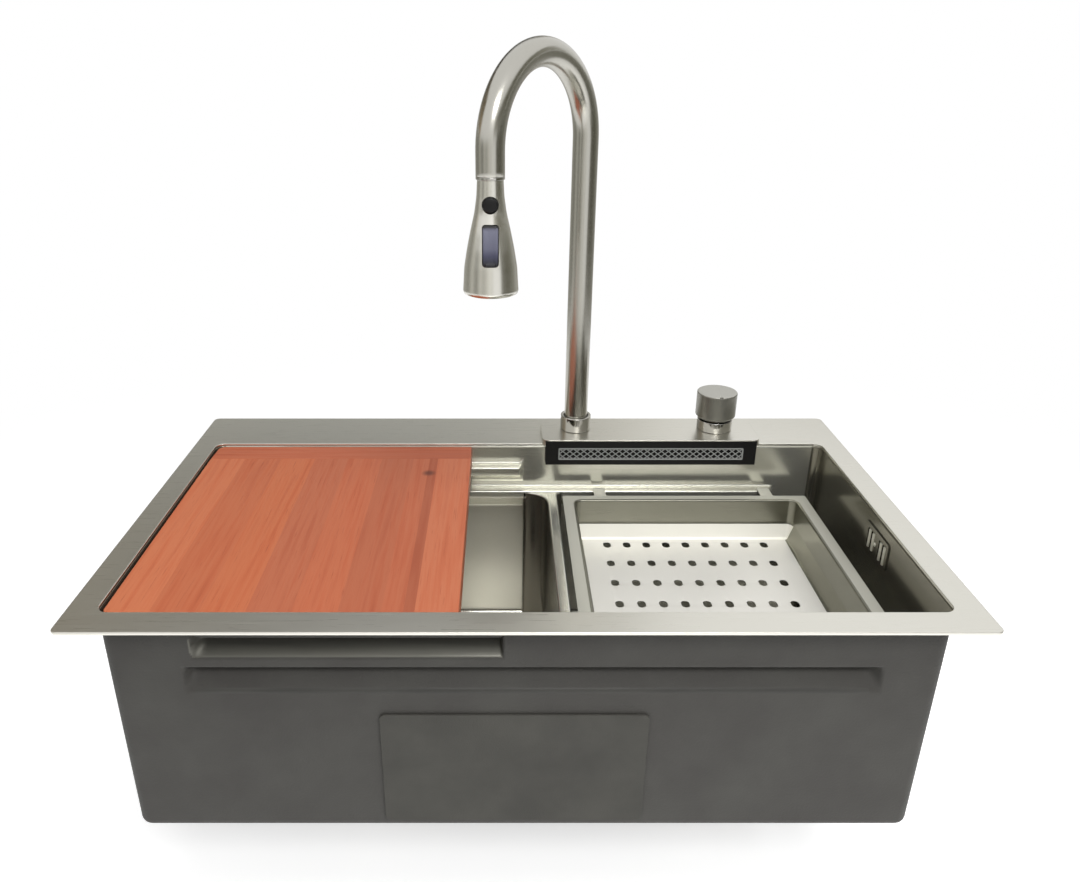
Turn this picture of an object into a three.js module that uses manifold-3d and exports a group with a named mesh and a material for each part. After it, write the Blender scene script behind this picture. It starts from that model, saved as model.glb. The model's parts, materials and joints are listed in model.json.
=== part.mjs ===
// Drop-in workstation kitchen sink with its tap, chopping board and drain tray.
//
// Frame: millimetres, +Z up, +X to the user's right, +Y away from the user. The origin is the middle of
// the rim's rectangle, on the worktop that the rim's seal rests on.

import * as THREE from 'three'
import { mergeVertices } from 'three/addons/utils/BufferGeometryUtils.js'
import Module from 'manifold-3d'

// ---- Driving dimensions -------------------------------------------------------------------------

// Gap between pieces that rest on each other or move past each other
const SEAT_GAP = 0.3
const RUNNING_GAP = 0.8
// How far a cutting shape reaches past the face that it cuts through
const OVERRUN = 1

// Rim: a flat plate that lies on the worktop round the tub, wide at the rear where the tap stands
const SINK_WIDTH = 780
const SINK_DEPTH = 460
const RIM_THICKNESS = 3
const RIM_CORNER_RADIUS = 6
const RIM_FRONT = 29
const RIM_SIDE = 26
const RIM_REAR = 81
const SEAL_THICKNESS = 2
const SEAL_WIDTH = 14
const SEAL_SETBACK = 4

// Tub: one folded sheet for front, floor and rear, with a dished cap welded on each end
const TUB_DEPTH = 245
const TUB_WALL = 1.5
const TUB_CORNER_RADIUS = 10
const TUB_FLOOR_RADIUS = 9
const LEAST_CORNER_RADIUS = 1
const END_CAP_REACH = 16

// Upper pressed ledges: the chopping board slides on them
const BOARD_LEDGE_LEFT_GAP = 74
const BOARD_LEDGE_DIVIDER_GAP_FRONT = 52
const BOARD_LEDGE_DIVIDER_GAP_REAR = 29
const BOARD_LEDGE_BLUNT_END = 5
const BOARD_LEDGE_DEPTH = 15
const BOARD_LEDGE_HEIGHT = 22
// Lower pressed ledges: the drain tray hangs on them
const TRAY_LEDGE_LEFT_GAP = 64
const TRAY_LEDGE_RIGHT_GAP = 51
const TRAY_LEDGE_DEPTH = 15
const TRAY_LEDGE_HEIGHT = 26
const TRAY_LEDGE_DROP = 56.5
const LEDGE_NOSE = 9
const LEDGE_ROUND = 2.5
const LEDGE_TAPER = 14

// Divider between the two bowls: a folded ridge with flared ends
const DIVIDER_X = 40
const DIVIDER_WIDTH = 12
const DIVIDER_DROP = 58
const DIVIDER_FLARE_LEFT = 28
const DIVIDER_FLARE_RIGHT = 6

// Sound-deadening pads on the outside of the tub
const PAD_THICKNESS = 2.5
const PAD_TOP_DROP = 107
const PAD_HEIGHT = 125
const PAD_CORNER_RADIUS = 5
const FRONT_PAD_LEFT = -130
const FRONT_PAD_WIDTH = 241
const END_PAD_WIDTH = 200
const FLOOR_PAD_WIDTH = 150
const FLOOR_PAD_LENGTH = 180

// Overflow in the right end of the tub
const OVERFLOW_Y = -37
const OVERFLOW_DROP = 31
const OVERFLOW_COVER_LENGTH = 58
const OVERFLOW_COVER_HEIGHT = 30
const OVERFLOW_COVER_THICKNESS = 1.2
const OVERFLOW_SLOT_WIDTH = 4
const OVERFLOW_SLOT_HEIGHT = 20
const OVERFLOW_SLOT_ROUND = 1.9
const OVERFLOW_SLOT_SPACING = 9
const OVERFLOW_PAIR_SPACING = 28
const OVERFLOW_HOUSING_LENGTH = 66
const OVERFLOW_HOUSING_HEIGHT = 40
const OVERFLOW_HOUSING_DEPTH = 12.5
const OVERFLOW_HOUSING_WALL = 2
const OVERFLOW_FOOT_HEIGHT = 16
const OVERFLOW_PIPE_DIAMETER = 18
const OVERFLOW_PIPE_WALL = 1.5
const OVERFLOW_PIPE_BEND = 34

// Basket-strainer drains, one in each bowl
const DRAIN_HOLE_DIAMETER = 90
const DRAIN_FLANGE_DIAMETER = 112
const DRAIN_FLANGE_THICKNESS = 1.2
const DRAIN_RECESS_DEPTH = 3
const DRAIN_RECESS_MARGIN = 5
const DRAIN_CUP_DIAMETER = 86
const DRAIN_CUP_DEPTH = 62
const DRAIN_CUP_WALL = 2
const DRAIN_OUTLET_DIAMETER = 46
const DRAIN_OUTLET_WALL = 2.5
const DRAIN_OUTLET_LENGTH = 22
const DRAIN_INLET_DROP = 34
const DRAIN_INLET_LENGTH = 16
const DRAIN_GASKET_THICKNESS = 3
const DRAIN_NUT_DIAMETER = 106
const DRAIN_NUT_HEIGHT = 12
const TAIL_DIAMETER = 40
const TAIL_WALL = 2
const TAIL_LENGTH = 60
const SLIP_NUT_DIAMETER = 58
const SLIP_NUT_HEIGHT = 20
const BASKET_DIAMETER = 78
const BASKET_DEPTH = 26
const BASKET_WALL = 1
const BASKET_FLOOR_CHAMFER = 5.5
const BASKET_HOLE_DIAMETER = 6
const BASKET_HOLE_COUNT = 8
const BASKET_KNOB_DIAMETER = 18
const BASKET_KNOB_HEIGHT = 16
const BASKET_KNOB_HEAD = 5
const BASKET_KNOB_STEM_DIAMETER = 9

// Chopping board: front-to-back staves with a cross-grain cleat along the rear edge
const BOARD_LEFT_GAP = 3
const BOARD_WIDTH = 304
const BOARD_END_GAP = 2
const BOARD_THICKNESS = 22
const BOARD_DROP = 3
const BOARD_CLEAT_DEPTH = 34
const BOARD_EDGE_ROUND = 1.5

// Drain tray: a folded and punched sheet tray that hangs in the right bowl by four ears
const TRAY_DIVIDER_GAP = 6
const TRAY_END_CLEARANCE = 21
const TRAY_WALL_CLEARANCE = 30
const TRAY_SHEET = 1.2
const TRAY_FLANGE_SIDE = 15
const TRAY_FLANGE_END = 12
const TRAY_FLOOR_DEPTH = 48.5
const TRAY_FOOT_HEIGHT = 19
const TRAY_FOOT_INSET = 6
const TRAY_CORNER_RADIUS = 8
const TRAY_EAR_WIDTH = 14
const TRAY_EAR_SPACING = 200
const TRAY_HOLE_WIDTH = 9
const TRAY_HOLE_LENGTH = 13
const TRAY_HOLE_ROUND = 4.2
const TRAY_HOLE_COLUMNS = 9
const TRAY_HOLE_COLUMN_PITCH = 23.3
const TRAY_HOLE_ROW_PITCH = 41
const TRAY_HOLE_MARGIN = 15

// Tap plate on the rear deck, and the waterfall outlet that hangs from it over the rear wall
const PLATE_DIVIDER_OVERLAP = 6
const PLATE_WIDTH = 261
const PLATE_HEIGHT = 8
const PLATE_OVERHANG = 8
const PLATE_REAR_MARGIN = 25
const PLATE_CORNER_RADIUS = 8
const PLATE_LIP = 2
const OUTLET_SIDE_MARGIN = 4
const OUTLET_HEIGHT = 30.5
const OUTLET_CHANNEL_WEB = 3
const OUTLET_CHANNEL_HEIGHT = 4.5
const GRILLE_WIDTH = 222
const GRILLE_HEIGHT = 15
const GRILLE_THICKNESS = 1.5
const GRILLE_PROUD = 0.4
const GRILLE_PITCH = 8.5
const GRILLE_BAR = 1.3
const GRILLE_DIAMOND_WIDTH = 6.4
const GRILLE_DIAMOND_HEIGHT = 6.6
const GRILLE_ROWS = 2

// Riser, gooseneck and pull-out spray head
const TAP_SETBACK = 31
const RISER_MARGIN = 42
const NECK_DIAMETER = 28
const NECK_WALL = 2
const NECK_SPRING_HEIGHT = 347
const NECK_REACH = 172
const NECK_YAW = THREE.MathUtils.degToRad(-126.2)
const NECK_BEND_STEPS = 15
const COLLAR_DIAMETER = 37
const COLLAR_HEIGHT = 18
const SHANK_DIAMETER = 32
const SHANK_WALL = 4
const SHANK_LENGTH = 50
const DECK_HOLE_DIAMETER = 35
const DECK_WASHER_DIAMETER = 52
const DECK_WASHER_THICKNESS = 3
const DECK_NUT_DIAMETER = 46
const DECK_NUT_HEIGHT = 10
const HOSE_DIAMETER = 14
const HOSE_BORE = 8
const HOSE_JOINT_DROP = 1
const SPOUT_TIP_LENGTH = 22
const DOCK_RING_HEIGHT = 3
const DOCK_STEM_DIAMETER = 21
const DOCK_STEM_LENGTH = 12
const HEAD_LENGTH = 109
const HEAD_TOP_DIAMETER = 25.4
const HEAD_BOTTOM_DIAMETER = 55
const HEAD_WALL = 2
const SPRAY_FACE_DIAMETER = 44
const SPRAY_FACE_HEIGHT = 7
const SPRAY_FACE_RECESS = 1.5
const PAUSE_BUTTON_DIAMETER = 15
const PAUSE_BUTTON_HEIGHT = 87
const PAUSE_BUTTON_PROUD = 2.2
const PAUSE_BUTTON_DEPTH = 6
const ROCKER_WIDTH = 15
const ROCKER_LENGTH = 38
const ROCKER_HEIGHT = 50
const ROCKER_PROUD = 2.5
const ROCKER_DEPTH = 7
const BUTTON_GAP = 0.6

// Control knob and the mixing valve under it
const KNOB_MARGIN = 48
const KNOB_DIAMETER = 48
const KNOB_HEIGHT = 33
const KNOB_CHAMFER = 3.5
const KNOB_WALL = 3
const KNOB_EDGE = 1
const KNOB_MARK_WIDTH = 6
const KNOB_MARK_LENGTH = 4.5
const KNOB_MARK_DEPTH = 1.5
const KNOB_CLEARANCE = 2
const KNOB_SOCKET_DEPTH = 14
const KNOB_COLLAR_DIAMETER = 42
const KNOB_COLLAR_HEIGHT = 13
const KNOB_STEM_DIAMETER = 12
const VALVE_DIAMETER = 32
const VALVE_TOP_DROP = 2
const VALVE_LENGTH = 46
const MIXER_BODY_DIAMETER = 44
const MIXER_BODY_LENGTH = 52
const INLET_DIAMETER = 20
const INLET_LENGTH = 30
const INLET_SPACING = 22
const INLET_BORE = 12

// Facets round turned pieces
const FINE_SIDES = 20
const PLAIN_SIDES = 16
const SMALL_SIDES = 10
const HOLE_CORNER_STEPS = 2
const BOLT_SIDES = 6
const CORNER_STEPS = 3
const FLARE_STEPS = 8
const LEDGE_TAPER_STEPS = 4
const PIPE_BEND_STEPS = 6

// ---- Places worked out from the driving dimensions ------------------------------------------------

const RIM_TOP = SEAL_THICKNESS + RIM_THICKNESS
const fromRimTop = drop => RIM_TOP - drop

const SINK_LEFT = -SINK_WIDTH / 2
const SINK_FRONT = -SINK_DEPTH / 2
const TUB_LEFT = SINK_LEFT + RIM_SIDE
const TUB_RIGHT = -TUB_LEFT
const TUB_FRONT = SINK_FRONT + RIM_FRONT
const TUB_REAR = SINK_DEPTH / 2 - RIM_REAR
const TUB_MIDDLE_Y = (TUB_FRONT + TUB_REAR) / 2
const TAP_Y = TUB_REAR + TAP_SETBACK
const TUB_BOTTOM = fromRimTop(TUB_DEPTH)
const FLOOR_TOP = TUB_BOTTOM + TUB_WALL
const END_CUT_X = TUB_RIGHT - END_CAP_REACH

const BOARD_LEDGE_DROP = BOARD_DROP + BOARD_THICKNESS + SEAT_GAP
const TRAY_TOP = fromRimTop(TRAY_LEDGE_DROP) + SEAT_GAP + TRAY_SHEET
const DIVIDER_LEFT = DIVIDER_X - DIVIDER_WIDTH / 2
const DIVIDER_RIGHT = DIVIDER_X + DIVIDER_WIDTH / 2

const LEFT_DRAIN_X = (TUB_LEFT + DIVIDER_LEFT) / 2
const RIGHT_DRAIN_X = (DIVIDER_RIGHT + TUB_RIGHT) / 2
const DRAIN_Y = OVERFLOW_Y
const RECESS_DIAMETER = DRAIN_FLANGE_DIAMETER + 2 * DRAIN_RECESS_MARGIN
const RECESS_TOP = FLOOR_TOP - DRAIN_RECESS_DEPTH
const DRAIN_CUP_BOTTOM = RECESS_TOP - DRAIN_CUP_DEPTH

const PLATE_TOP = RIM_TOP + PLATE_HEIGHT
const PLATE_LEFT = DIVIDER_LEFT - PLATE_DIVIDER_OVERLAP
const PLATE_FRONT = TUB_REAR - PLATE_OVERHANG
const PLATE_REAR = SINK_DEPTH / 2 - PLATE_REAR_MARGIN
const PLATE_RIGHT = PLATE_LEFT + PLATE_WIDTH
const RISER_X = PLATE_LEFT + RISER_MARGIN
const KNOB_X = PLATE_RIGHT - KNOB_MARGIN
const OUTLET_FRONT = PLATE_FRONT + SEAT_GAP
const OUTLET_TOP = PLATE_TOP - PLATE_LIP
const OUTLET_BOTTOM = OUTLET_TOP - OUTLET_HEIGHT
const OUTLET_THICKNESS = PLATE_OVERHANG - 2 * SEAT_GAP

const NECK_SPRING_Z = fromRimTop(-NECK_SPRING_HEIGHT)
const NECK_RADIUS = NECK_DIAMETER / 2
const NECK_BORE = NECK_RADIUS - NECK_WALL
const BEND_RADIUS = NECK_REACH / 2
const SPOUT_TIP_Z = NECK_SPRING_Z - SPOUT_TIP_LENGTH
const HOSE_JOINT_Z = NECK_SPRING_Z - HOSE_JOINT_DROP
const HEAD_TOP_Z = SPOUT_TIP_Z - DOCK_RING_HEIGHT - SEAT_GAP
const HEAD_BOTTOM_Z = HEAD_TOP_Z - HEAD_LENGTH
const HEAD_X = RISER_X + NECK_REACH * Math.cos(NECK_YAW)
const HEAD_Y = TAP_Y + NECK_REACH * Math.sin(NECK_YAW)

// ---- Geometry helpers -----------------------------------------------------------------------------

const wasm = await Module()
wasm.setup()

// A closed geometry as a solid that can be joined and cut
function solidOf(geometry) {
  const bare = geometry.clone()
  for (const name of ['normal', 'uv']) bare.deleteAttribute(name)
  const merged = mergeVertices(bare, 1e-4)
  return new wasm.Manifold(new wasm.Mesh({
    numProp: 3,
    vertProperties: new Float32Array(merged.attributes.position.array),
    triVerts: new Uint32Array(merged.index.array),
  }))
}

function geometryOf(solid) {
  const mesh = solid.getMesh()
  const geometry = new THREE.BufferGeometry()
  geometry.setAttribute('position', new THREE.BufferAttribute(mesh.vertProperties, 3))
  geometry.setIndex(new THREE.BufferAttribute(mesh.triVerts, 1))
  geometry.computeVertexNormals()
  return geometry
}

function join(first, ...others) {
  let solid = solidOf(first)
  for (const other of others) solid = solid.add(solidOf(other))
  return geometryOf(solid)
}

function cut(first, ...tools) {
  let solid = solidOf(first)
  for (const tool of tools) solid = solid.subtract(solidOf(tool))
  return geometryOf(solid)
}

function common(first, second) {
  return geometryOf(solidOf(first).intersect(solidOf(second)))
}

// A box from its lowest and highest corners
function block(x0, x1, y0, y1, z0, z1) {
  const geometry = new THREE.BoxGeometry(x1 - x0, y1 - y0, z1 - z0)
  return geometry.translate((x0 + x1) / 2, (y0 + y1) / 2, (z0 + z1) / 2)
}

// A profile of [radius, height] points turned about the Z axis
function turned(profile, sides = PLAIN_SIDES) {
  const points = profile.map(([radius, height]) => new THREE.Vector2(radius, height))
  return facingOut(new THREE.LatheGeometry(points, sides).rotateX(Math.PI / 2))
}

// A ring or plain disc about the Z axis; innerRadius 0 gives a disc
function ringSolid(outerRadius, innerRadius, z0, z1, sides = PLAIN_SIDES) {
  const corners = [[innerRadius, z0], [outerRadius, z0], [outerRadius, z1], [innerRadius, z1]]
  return turned(innerRadius > 0 ? [...corners, corners[0]] : corners, sides)
}

// Turns the faces of a closed geometry outwards if its volume comes out negative
function facingOut(geometry) {
  const flat = geometry.index ? geometry.toNonIndexed() : geometry
  const position = flat.attributes.position
  const [a, b, c] = [new THREE.Vector3(), new THREE.Vector3(), new THREE.Vector3()]
  let volume = 0
  for (let i = 0; i < position.count; i += 3) {
    a.fromBufferAttribute(position, i)
    b.fromBufferAttribute(position, i + 1)
    c.fromBufferAttribute(position, i + 2)
    volume += a.dot(b.cross(c))
  }
  if (volume > 0) return geometry
  const turnedRound = flat.clone()
  const array = turnedRound.attributes.position.array
  for (let i = 0; i < array.length; i += 9) {
    const second = array.slice(i + 3, i + 6)
    array.copyWithin(i + 3, i + 6, i + 9)
    array.set(second, i + 6)
  }
  turnedRound.computeVertexNormals()
  return turnedRound
}

// Corner points of a rectangle with round corners, anticlockwise. The left corners may have a radius of
// their own.
function roundRectangle(x0, x1, y0, y1, radius, steps = CORNER_STEPS, leftRadius = radius) {
  const corners = [
    [x1 - radius, y0 + radius, radius, -Math.PI / 2],
    [x1 - radius, y1 - radius, radius, 0],
    [x0 + leftRadius, y1 - leftRadius, leftRadius, Math.PI / 2],
    [x0 + leftRadius, y0 + leftRadius, leftRadius, Math.PI],
  ]
  return corners.flatMap(([cx, cy, bend, start]) => Array.from({ length: steps + 1 }, (_, i) => {
    const angle = start + (i / steps) * (Math.PI / 2)
    return new THREE.Vector2(cx + bend * Math.cos(angle), cy + bend * Math.sin(angle))
  }))
}

// An outline in X and Y, with optional holes, raised from z0 to z1
function prism(outline, z0, z1, holes = []) {
  const shape = new THREE.Shape(outline)
  for (const hole of holes) shape.holes.push(new THREE.Path(hole))
  const geometry = new THREE.ExtrudeGeometry(shape, { depth: z1 - z0, bevelEnabled: false })
  return geometry.translate(0, 0, z0)
}

function circle(x, y, radius, sides = PLAIN_SIDES) {
  return Array.from({ length: sides }, (_, i) => {
    const angle = (i / sides) * 2 * Math.PI
    return new THREE.Vector2(x + radius * Math.cos(angle), y + radius * Math.sin(angle))
  })
}

// A skin over equal rings of points, closed by a flat face over the first and the last ring
function loft(rings) {
  const count = rings[0].length
  const positions = rings.flat().flatMap(point => [point.x, point.y, point.z])
  const index = []
  for (let r = 0; r + 1 < rings.length; r++) {
    for (let i = 0; i < count; i++) {
      const [a, b] = [r * count + i, r * count + (i + 1) % count]
      index.push(a, b, b + count, a, b + count, a + count)
    }
  }
  const last = (rings.length - 1) * count
  for (const [a, b, c] of flatFace(rings[0])) index.push(c, b, a)
  for (const [a, b, c] of flatFace(rings[rings.length - 1])) index.push(last + a, last + b, last + c)
  const geometry = new THREE.BufferGeometry()
  geometry.setAttribute('position', new THREE.Float32BufferAttribute(positions, 3))
  geometry.setIndex(index)
  return facingOut(geometry)
}

// Triangles over one flat ring, in the winding of the ring itself
function flatFace(ring) {
  const normal = new THREE.Vector3()
  const side = new THREE.Vector3()
  for (let i = 0; i < ring.length; i++) {
    const next = ring[(i + 1) % ring.length]
    normal.add(side.copy(ring[i]).sub(ring[0]).cross(next.clone().sub(ring[0])))
  }
  const turn = new THREE.Quaternion().setFromUnitVectors(normal.normalize(), new THREE.Vector3(0, 0, 1))
  const flat = ring.map(point => {
    const laid = point.clone().applyQuaternion(turn)
    return new THREE.Vector2(laid.x, laid.y)
  })
  return THREE.ShapeUtils.triangulateShape(flat, [])
}

// A pipe along a route that lies in one upright plane. The route is a list of [distance, height] points
// in the plane, with the direction of travel as an angle up from the level at each point.
function pipe(route, outerRadius, innerRadius, sides) {
  const ringAt = ([distance, height, angle], radius) => Array.from({ length: sides }, (_, i) => {
    const around = (i / sides) * 2 * Math.PI
    const across = radius * Math.cos(around)
    return new THREE.Vector3(
      distance - across * Math.sin(angle),
      radius * Math.sin(around),
      height + across * Math.cos(angle),
    )
  })
  const outside = loft(route.map(station => ringAt(station, outerRadius)))
  if (innerRadius <= 0) return outside
  const stretch = ([distance, height, angle], by) =>
    [distance + by * Math.cos(angle), height + by * Math.sin(angle), angle]
  const bore = [...route]
  bore[0] = stretch(route[0], -OVERRUN)
  bore[bore.length - 1] = stretch(route[route.length - 1], OVERRUN)
  return cut(outside, loft(bore.map(station => ringAt(station, innerRadius))))
}

// The stations of a bend: centre, radius, and the angle of the radius from start to end
function bend(cx, cz, radius, from, to, steps) {
  const turn = Math.sign(to - from)
  return Array.from({ length: steps + 1 }, (_, i) => {
    const angle = from + (i / steps) * (to - from)
    return [cx + radius * Math.cos(angle), cz + radius * Math.sin(angle), angle + turn * Math.PI / 2]
  })
}

const RIGHT_ANGLE = Math.PI / 2

// ---- Materials ------------------------------------------------------------------------------------

const FINISHES = {
  brushedSteel: { color: 0xb9b8b2, roughness: 0.32, metalness: 1 },
  polishedSteel: { color: 0xc9c8c2, roughness: 0.12, metalness: 1 },
  coating: { color: 0x55544f, roughness: 0.85, metalness: 0 },
  pad: { color: 0x504f4a, roughness: 0.9, metalness: 0 },
  foam: { color: 0x262626, roughness: 0.95, metalness: 0 },
  blackPlastic: { color: 0x161716, roughness: 0.45, metalness: 0 },
  greyPlastic: { color: 0x8e908d, roughness: 0.4, metalness: 0 },
  rockerPlastic: { color: 0x5f6070, roughness: 0.35, metalness: 0 },
  whitePlastic: { color: 0xd9dad6, roughness: 0.45, metalness: 0 },
  rubber: { color: 0x1c1c1c, roughness: 0.8, metalness: 0 },
  knobGrey: { color: 0x5c5c55, roughness: 0.38, metalness: 1 },
  brass: { color: 0xb89a5a, roughness: 0.35, metalness: 1 },
  wood: { color: 0xc4674a, roughness: 0.55, metalness: 0 },
}

function piece(name, geometry, finish) {
  const mesh = new THREE.Mesh(geometry, new THREE.MeshStandardMaterial(FINISHES[finish]))
  mesh.name = name
  return mesh
}

function groupAt(x, y, z, ...children) {
  const group = new THREE.Group()
  group.position.set(x, y, z)
  group.add(...children)
  return group
}

// ---- Rim and seal ---------------------------------------------------------------------------------

function rimDeck() {
  const outline = roundRectangle(SINK_LEFT, -SINK_LEFT, SINK_FRONT, -SINK_FRONT, RIM_CORNER_RADIUS)
  const opening = roundRectangle(TUB_LEFT, TUB_RIGHT, TUB_FRONT, TUB_REAR, TUB_CORNER_RADIUS)
  const tapHoles = [RISER_X, KNOB_X].map(x => circle(x, TAP_Y, DECK_HOLE_DIAMETER / 2))
  const plate = prism(outline, SEAL_THICKNESS, RIM_TOP, [opening, ...tapHoles])
  return piece('rim_deck', plate, 'brushedSteel')
}

function rimSeal() {
  const ringOutline = inset => roundRectangle(
    SINK_LEFT + inset, -SINK_LEFT - inset,
    SINK_FRONT + inset, -SINK_FRONT - inset,
    RIM_CORNER_RADIUS,
  )
  const inner = ringOutline(SEAL_SETBACK + SEAL_WIDTH)
  return piece('rim_seal', prism(ringOutline(SEAL_SETBACK), 0, SEAL_THICKNESS, [inner]), 'foam')
}

// ---- Tub ------------------------------------------------------------------------------------------

// The tub's hollow, grown by offset on every side, from its rounded floor up to top
function tubForm(offset, top) {
  const cornerRadius = TUB_CORNER_RADIUS + offset
  const floorRadius = Math.min(TUB_FLOOR_RADIUS + offset, cornerRadius - LEAST_CORNER_RADIUS)
  const floor = FLOOR_TOP - offset
  const ringAt = (inset, z) => roundRectangle(
    TUB_LEFT - offset + inset, TUB_RIGHT + offset - inset,
    TUB_FRONT - offset + inset, TUB_REAR + offset - inset,
    cornerRadius - inset,
  ).map(point => new THREE.Vector3(point.x, point.y, z))
  const curve = Array.from({ length: CORNER_STEPS + 1 }, (_, i) => {
    const angle = (i / CORNER_STEPS) * RIGHT_ANGLE
    return ringAt(floorRadius * (1 - Math.sin(angle)), floor + floorRadius * (1 - Math.cos(angle)))
  })
  return loft([...curve, ringAt(0, top)])
}

// One pressed ledge as it stands in from a long wall: a level shelf, a round nose and a slope back to
// the wall. The section runs along X and sinks into the wall at both ends. grow thickens the section.
function ledgeForm({ left, right, depth, height, drop, rear, rightTaper = LEDGE_TAPER }, rootDepth, grow) {
  const shelf = fromRimTop(drop) + grow
  const nose = depth + grow
  const round = LEDGE_ROUND + grow
  const wallY = rear ? TUB_REAR : TUB_FRONT
  const inwards = rear ? -1 : 1
  const arc = Array.from({ length: CORNER_STEPS + 1 }, (_, i) => {
    const angle = RIGHT_ANGLE * (1 - i / CORNER_STEPS)
    return [nose - round + round * Math.cos(angle), shelf - round + round * Math.sin(angle)]
  })
  const section = [
    [-rootDepth, shelf],
    ...arc,
    [nose, shelf - LEDGE_NOSE - grow],
    [-rootDepth, shelf - height - 2 * grow],
  ]
  const buried = 0.03
  const shares = Array.from({ length: LEDGE_TAPER_STEPS + 1 }, (_, i) => i / LEDGE_TAPER_STEPS)
  const stations = [
    ...shares.map(share => [left + LEDGE_TAPER * share, share]),
    ...shares.map(share => [right - rightTaper * (1 - share), 1 - share]),
  ]
  return loft(stations.map(([x, share]) => {
    const scale = buried + (1 - buried) * Math.sin(share * RIGHT_ANGLE)
    return section.map(([reach, z]) => {
      const scaled = -rootDepth + (reach + rootDepth) * scale
      return new THREE.Vector3(x, wallY + inwards * scaled, z)
    })
  }))
}

const boardLedge = {
  left: TUB_LEFT + BOARD_LEDGE_LEFT_GAP, rightTaper: BOARD_LEDGE_BLUNT_END,
  depth: BOARD_LEDGE_DEPTH, height: BOARD_LEDGE_HEIGHT, drop: BOARD_LEDGE_DROP,
}
const trayLedge = {
  left: TUB_LEFT + TRAY_LEDGE_LEFT_GAP, right: TUB_RIGHT - TRAY_LEDGE_RIGHT_GAP,
  depth: TRAY_LEDGE_DEPTH, height: TRAY_LEDGE_HEIGHT, drop: TRAY_LEDGE_DROP,
}
const LEDGES = [
  { ...boardLedge, right: DIVIDER_LEFT - BOARD_LEDGE_DIVIDER_GAP_FRONT, rear: false },
  { ...boardLedge, right: DIVIDER_LEFT - BOARD_LEDGE_DIVIDER_GAP_REAR, rear: true },
  { ...trayLedge, rear: false },
  { ...trayLedge, rear: true },
]
const ledgeInside = ledge => ledgeForm(ledge, TUB_WALL / 2, 0)
const ledgeGroove = ledge => ledgeForm(ledge, 2 * TUB_WALL, -TUB_WALL)
const ledgeClearance = ledge => ledgeForm(ledge, TUB_WALL / 2, SEAT_GAP)

function tubShell() {
  const shellTop = SEAL_THICKNESS
  let shell = cut(tubForm(TUB_WALL, shellTop), tubForm(0, shellTop + OVERRUN))
  shell = join(shell, ...LEDGES.map(ledgeInside))
  shell = cut(shell, ...LEDGES.map(ledgeGroove))
  for (const x of [LEFT_DRAIN_X, RIGHT_DRAIN_X]) {
    const at = geometry => geometry.translate(x, DRAIN_Y, 0)
    const dish = ringSolid(RECESS_DIAMETER / 2 + TUB_WALL, 0, RECESS_TOP - TUB_WALL, FLOOR_TOP, FINE_SIDES)
    const hollow = ringSolid(RECESS_DIAMETER / 2, 0, RECESS_TOP, FLOOR_TOP + OVERRUN, FINE_SIDES)
    const hole = ringSolid(DRAIN_HOLE_DIAMETER / 2, 0, RECESS_TOP - 2 * TUB_WALL, FLOOR_TOP, FINE_SIDES)
    shell = cut(join(shell, at(dish)), at(hollow), at(hole))
  }
  return shell
}

function tubPieces() {
  const shell = tubShell()
  const far = SINK_WIDTH
  const slab = (x0, x1) => block(x0, x1, -far, far, -far, far)
  const rightEnd = cut(common(shell, slab(END_CUT_X, far)), overflowHole())
  return [
    piece('tub_wrap', common(shell, slab(-END_CUT_X, END_CUT_X)), 'brushedSteel'),
    piece('tub_end_left', common(shell, slab(-far, -END_CUT_X)), 'brushedSteel'),
    piece('tub_end_right', rightEnd, 'brushedSteel'),
  ]
}

// ---- Divider --------------------------------------------------------------------------------------

// Plan of the divider with its flared ends, drawn in by shrink on both sides
function dividerPlan(shrink) {
  const left = DIVIDER_LEFT + shrink
  const right = DIVIDER_RIGHT - shrink
  const flare = (cx, cy, radius, from, to) => Array.from({ length: FLARE_STEPS + 1 }, (_, i) => {
    const angle = from + (i / FLARE_STEPS) * (to - from)
    return new THREE.Vector2(cx + radius * Math.cos(angle), cy + radius * Math.sin(angle))
  })
  const leftRound = DIVIDER_FLARE_LEFT
  const rightRound = DIVIDER_FLARE_RIGHT
  const frontNose = TUB_FRONT + TRAY_LEDGE_DEPTH
  const rearNose = TUB_REAR - TRAY_LEDGE_DEPTH
  return [
    new THREE.Vector2(left - leftRound, TUB_FRONT),
    new THREE.Vector2(right + rightRound, TUB_FRONT),
    ...flare(right + rightRound, frontNose + rightRound, rightRound, -RIGHT_ANGLE, -2 * RIGHT_ANGLE),
    ...flare(right + rightRound, rearNose - rightRound, rightRound, 2 * RIGHT_ANGLE, RIGHT_ANGLE),
    new THREE.Vector2(right + rightRound, TUB_REAR),
    new THREE.Vector2(left - leftRound, TUB_REAR),
    ...flare(left - leftRound, rearNose - leftRound, leftRound, RIGHT_ANGLE, 0),
    ...flare(left - leftRound, frontNose + leftRound, leftRound, 0, -RIGHT_ANGLE),
  ]
}

function divider() {
  const top = fromRimTop(DIVIDER_DROP)
  const hollowTop = top - TUB_WALL
  const outside = prism(dividerPlan(0), TUB_BOTTOM, top)
  const ridge = common(outside, tubForm(-SEAT_GAP, top + OVERRUN))
  const hollow = prism(dividerPlan(TUB_WALL), TUB_BOTTOM, hollowTop)
  const betweenLedges = block(
    -SINK_WIDTH, SINK_WIDTH,
    TUB_FRONT + TRAY_LEDGE_DEPTH + 2 * TUB_WALL, TUB_REAR - TRAY_LEDGE_DEPTH - 2 * TUB_WALL,
    TUB_BOTTOM - OVERRUN, hollowTop,
  )
  const cleared = cut(ridge, ...LEDGES.filter(ledge => ledge.drop === TRAY_LEDGE_DROP).map(ledgeClearance))
  return piece('divider', cut(cleared, common(hollow, betweenLedges)), 'brushedSteel')
}

// ---- Sound-deadening pads -------------------------------------------------------------------------

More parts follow.
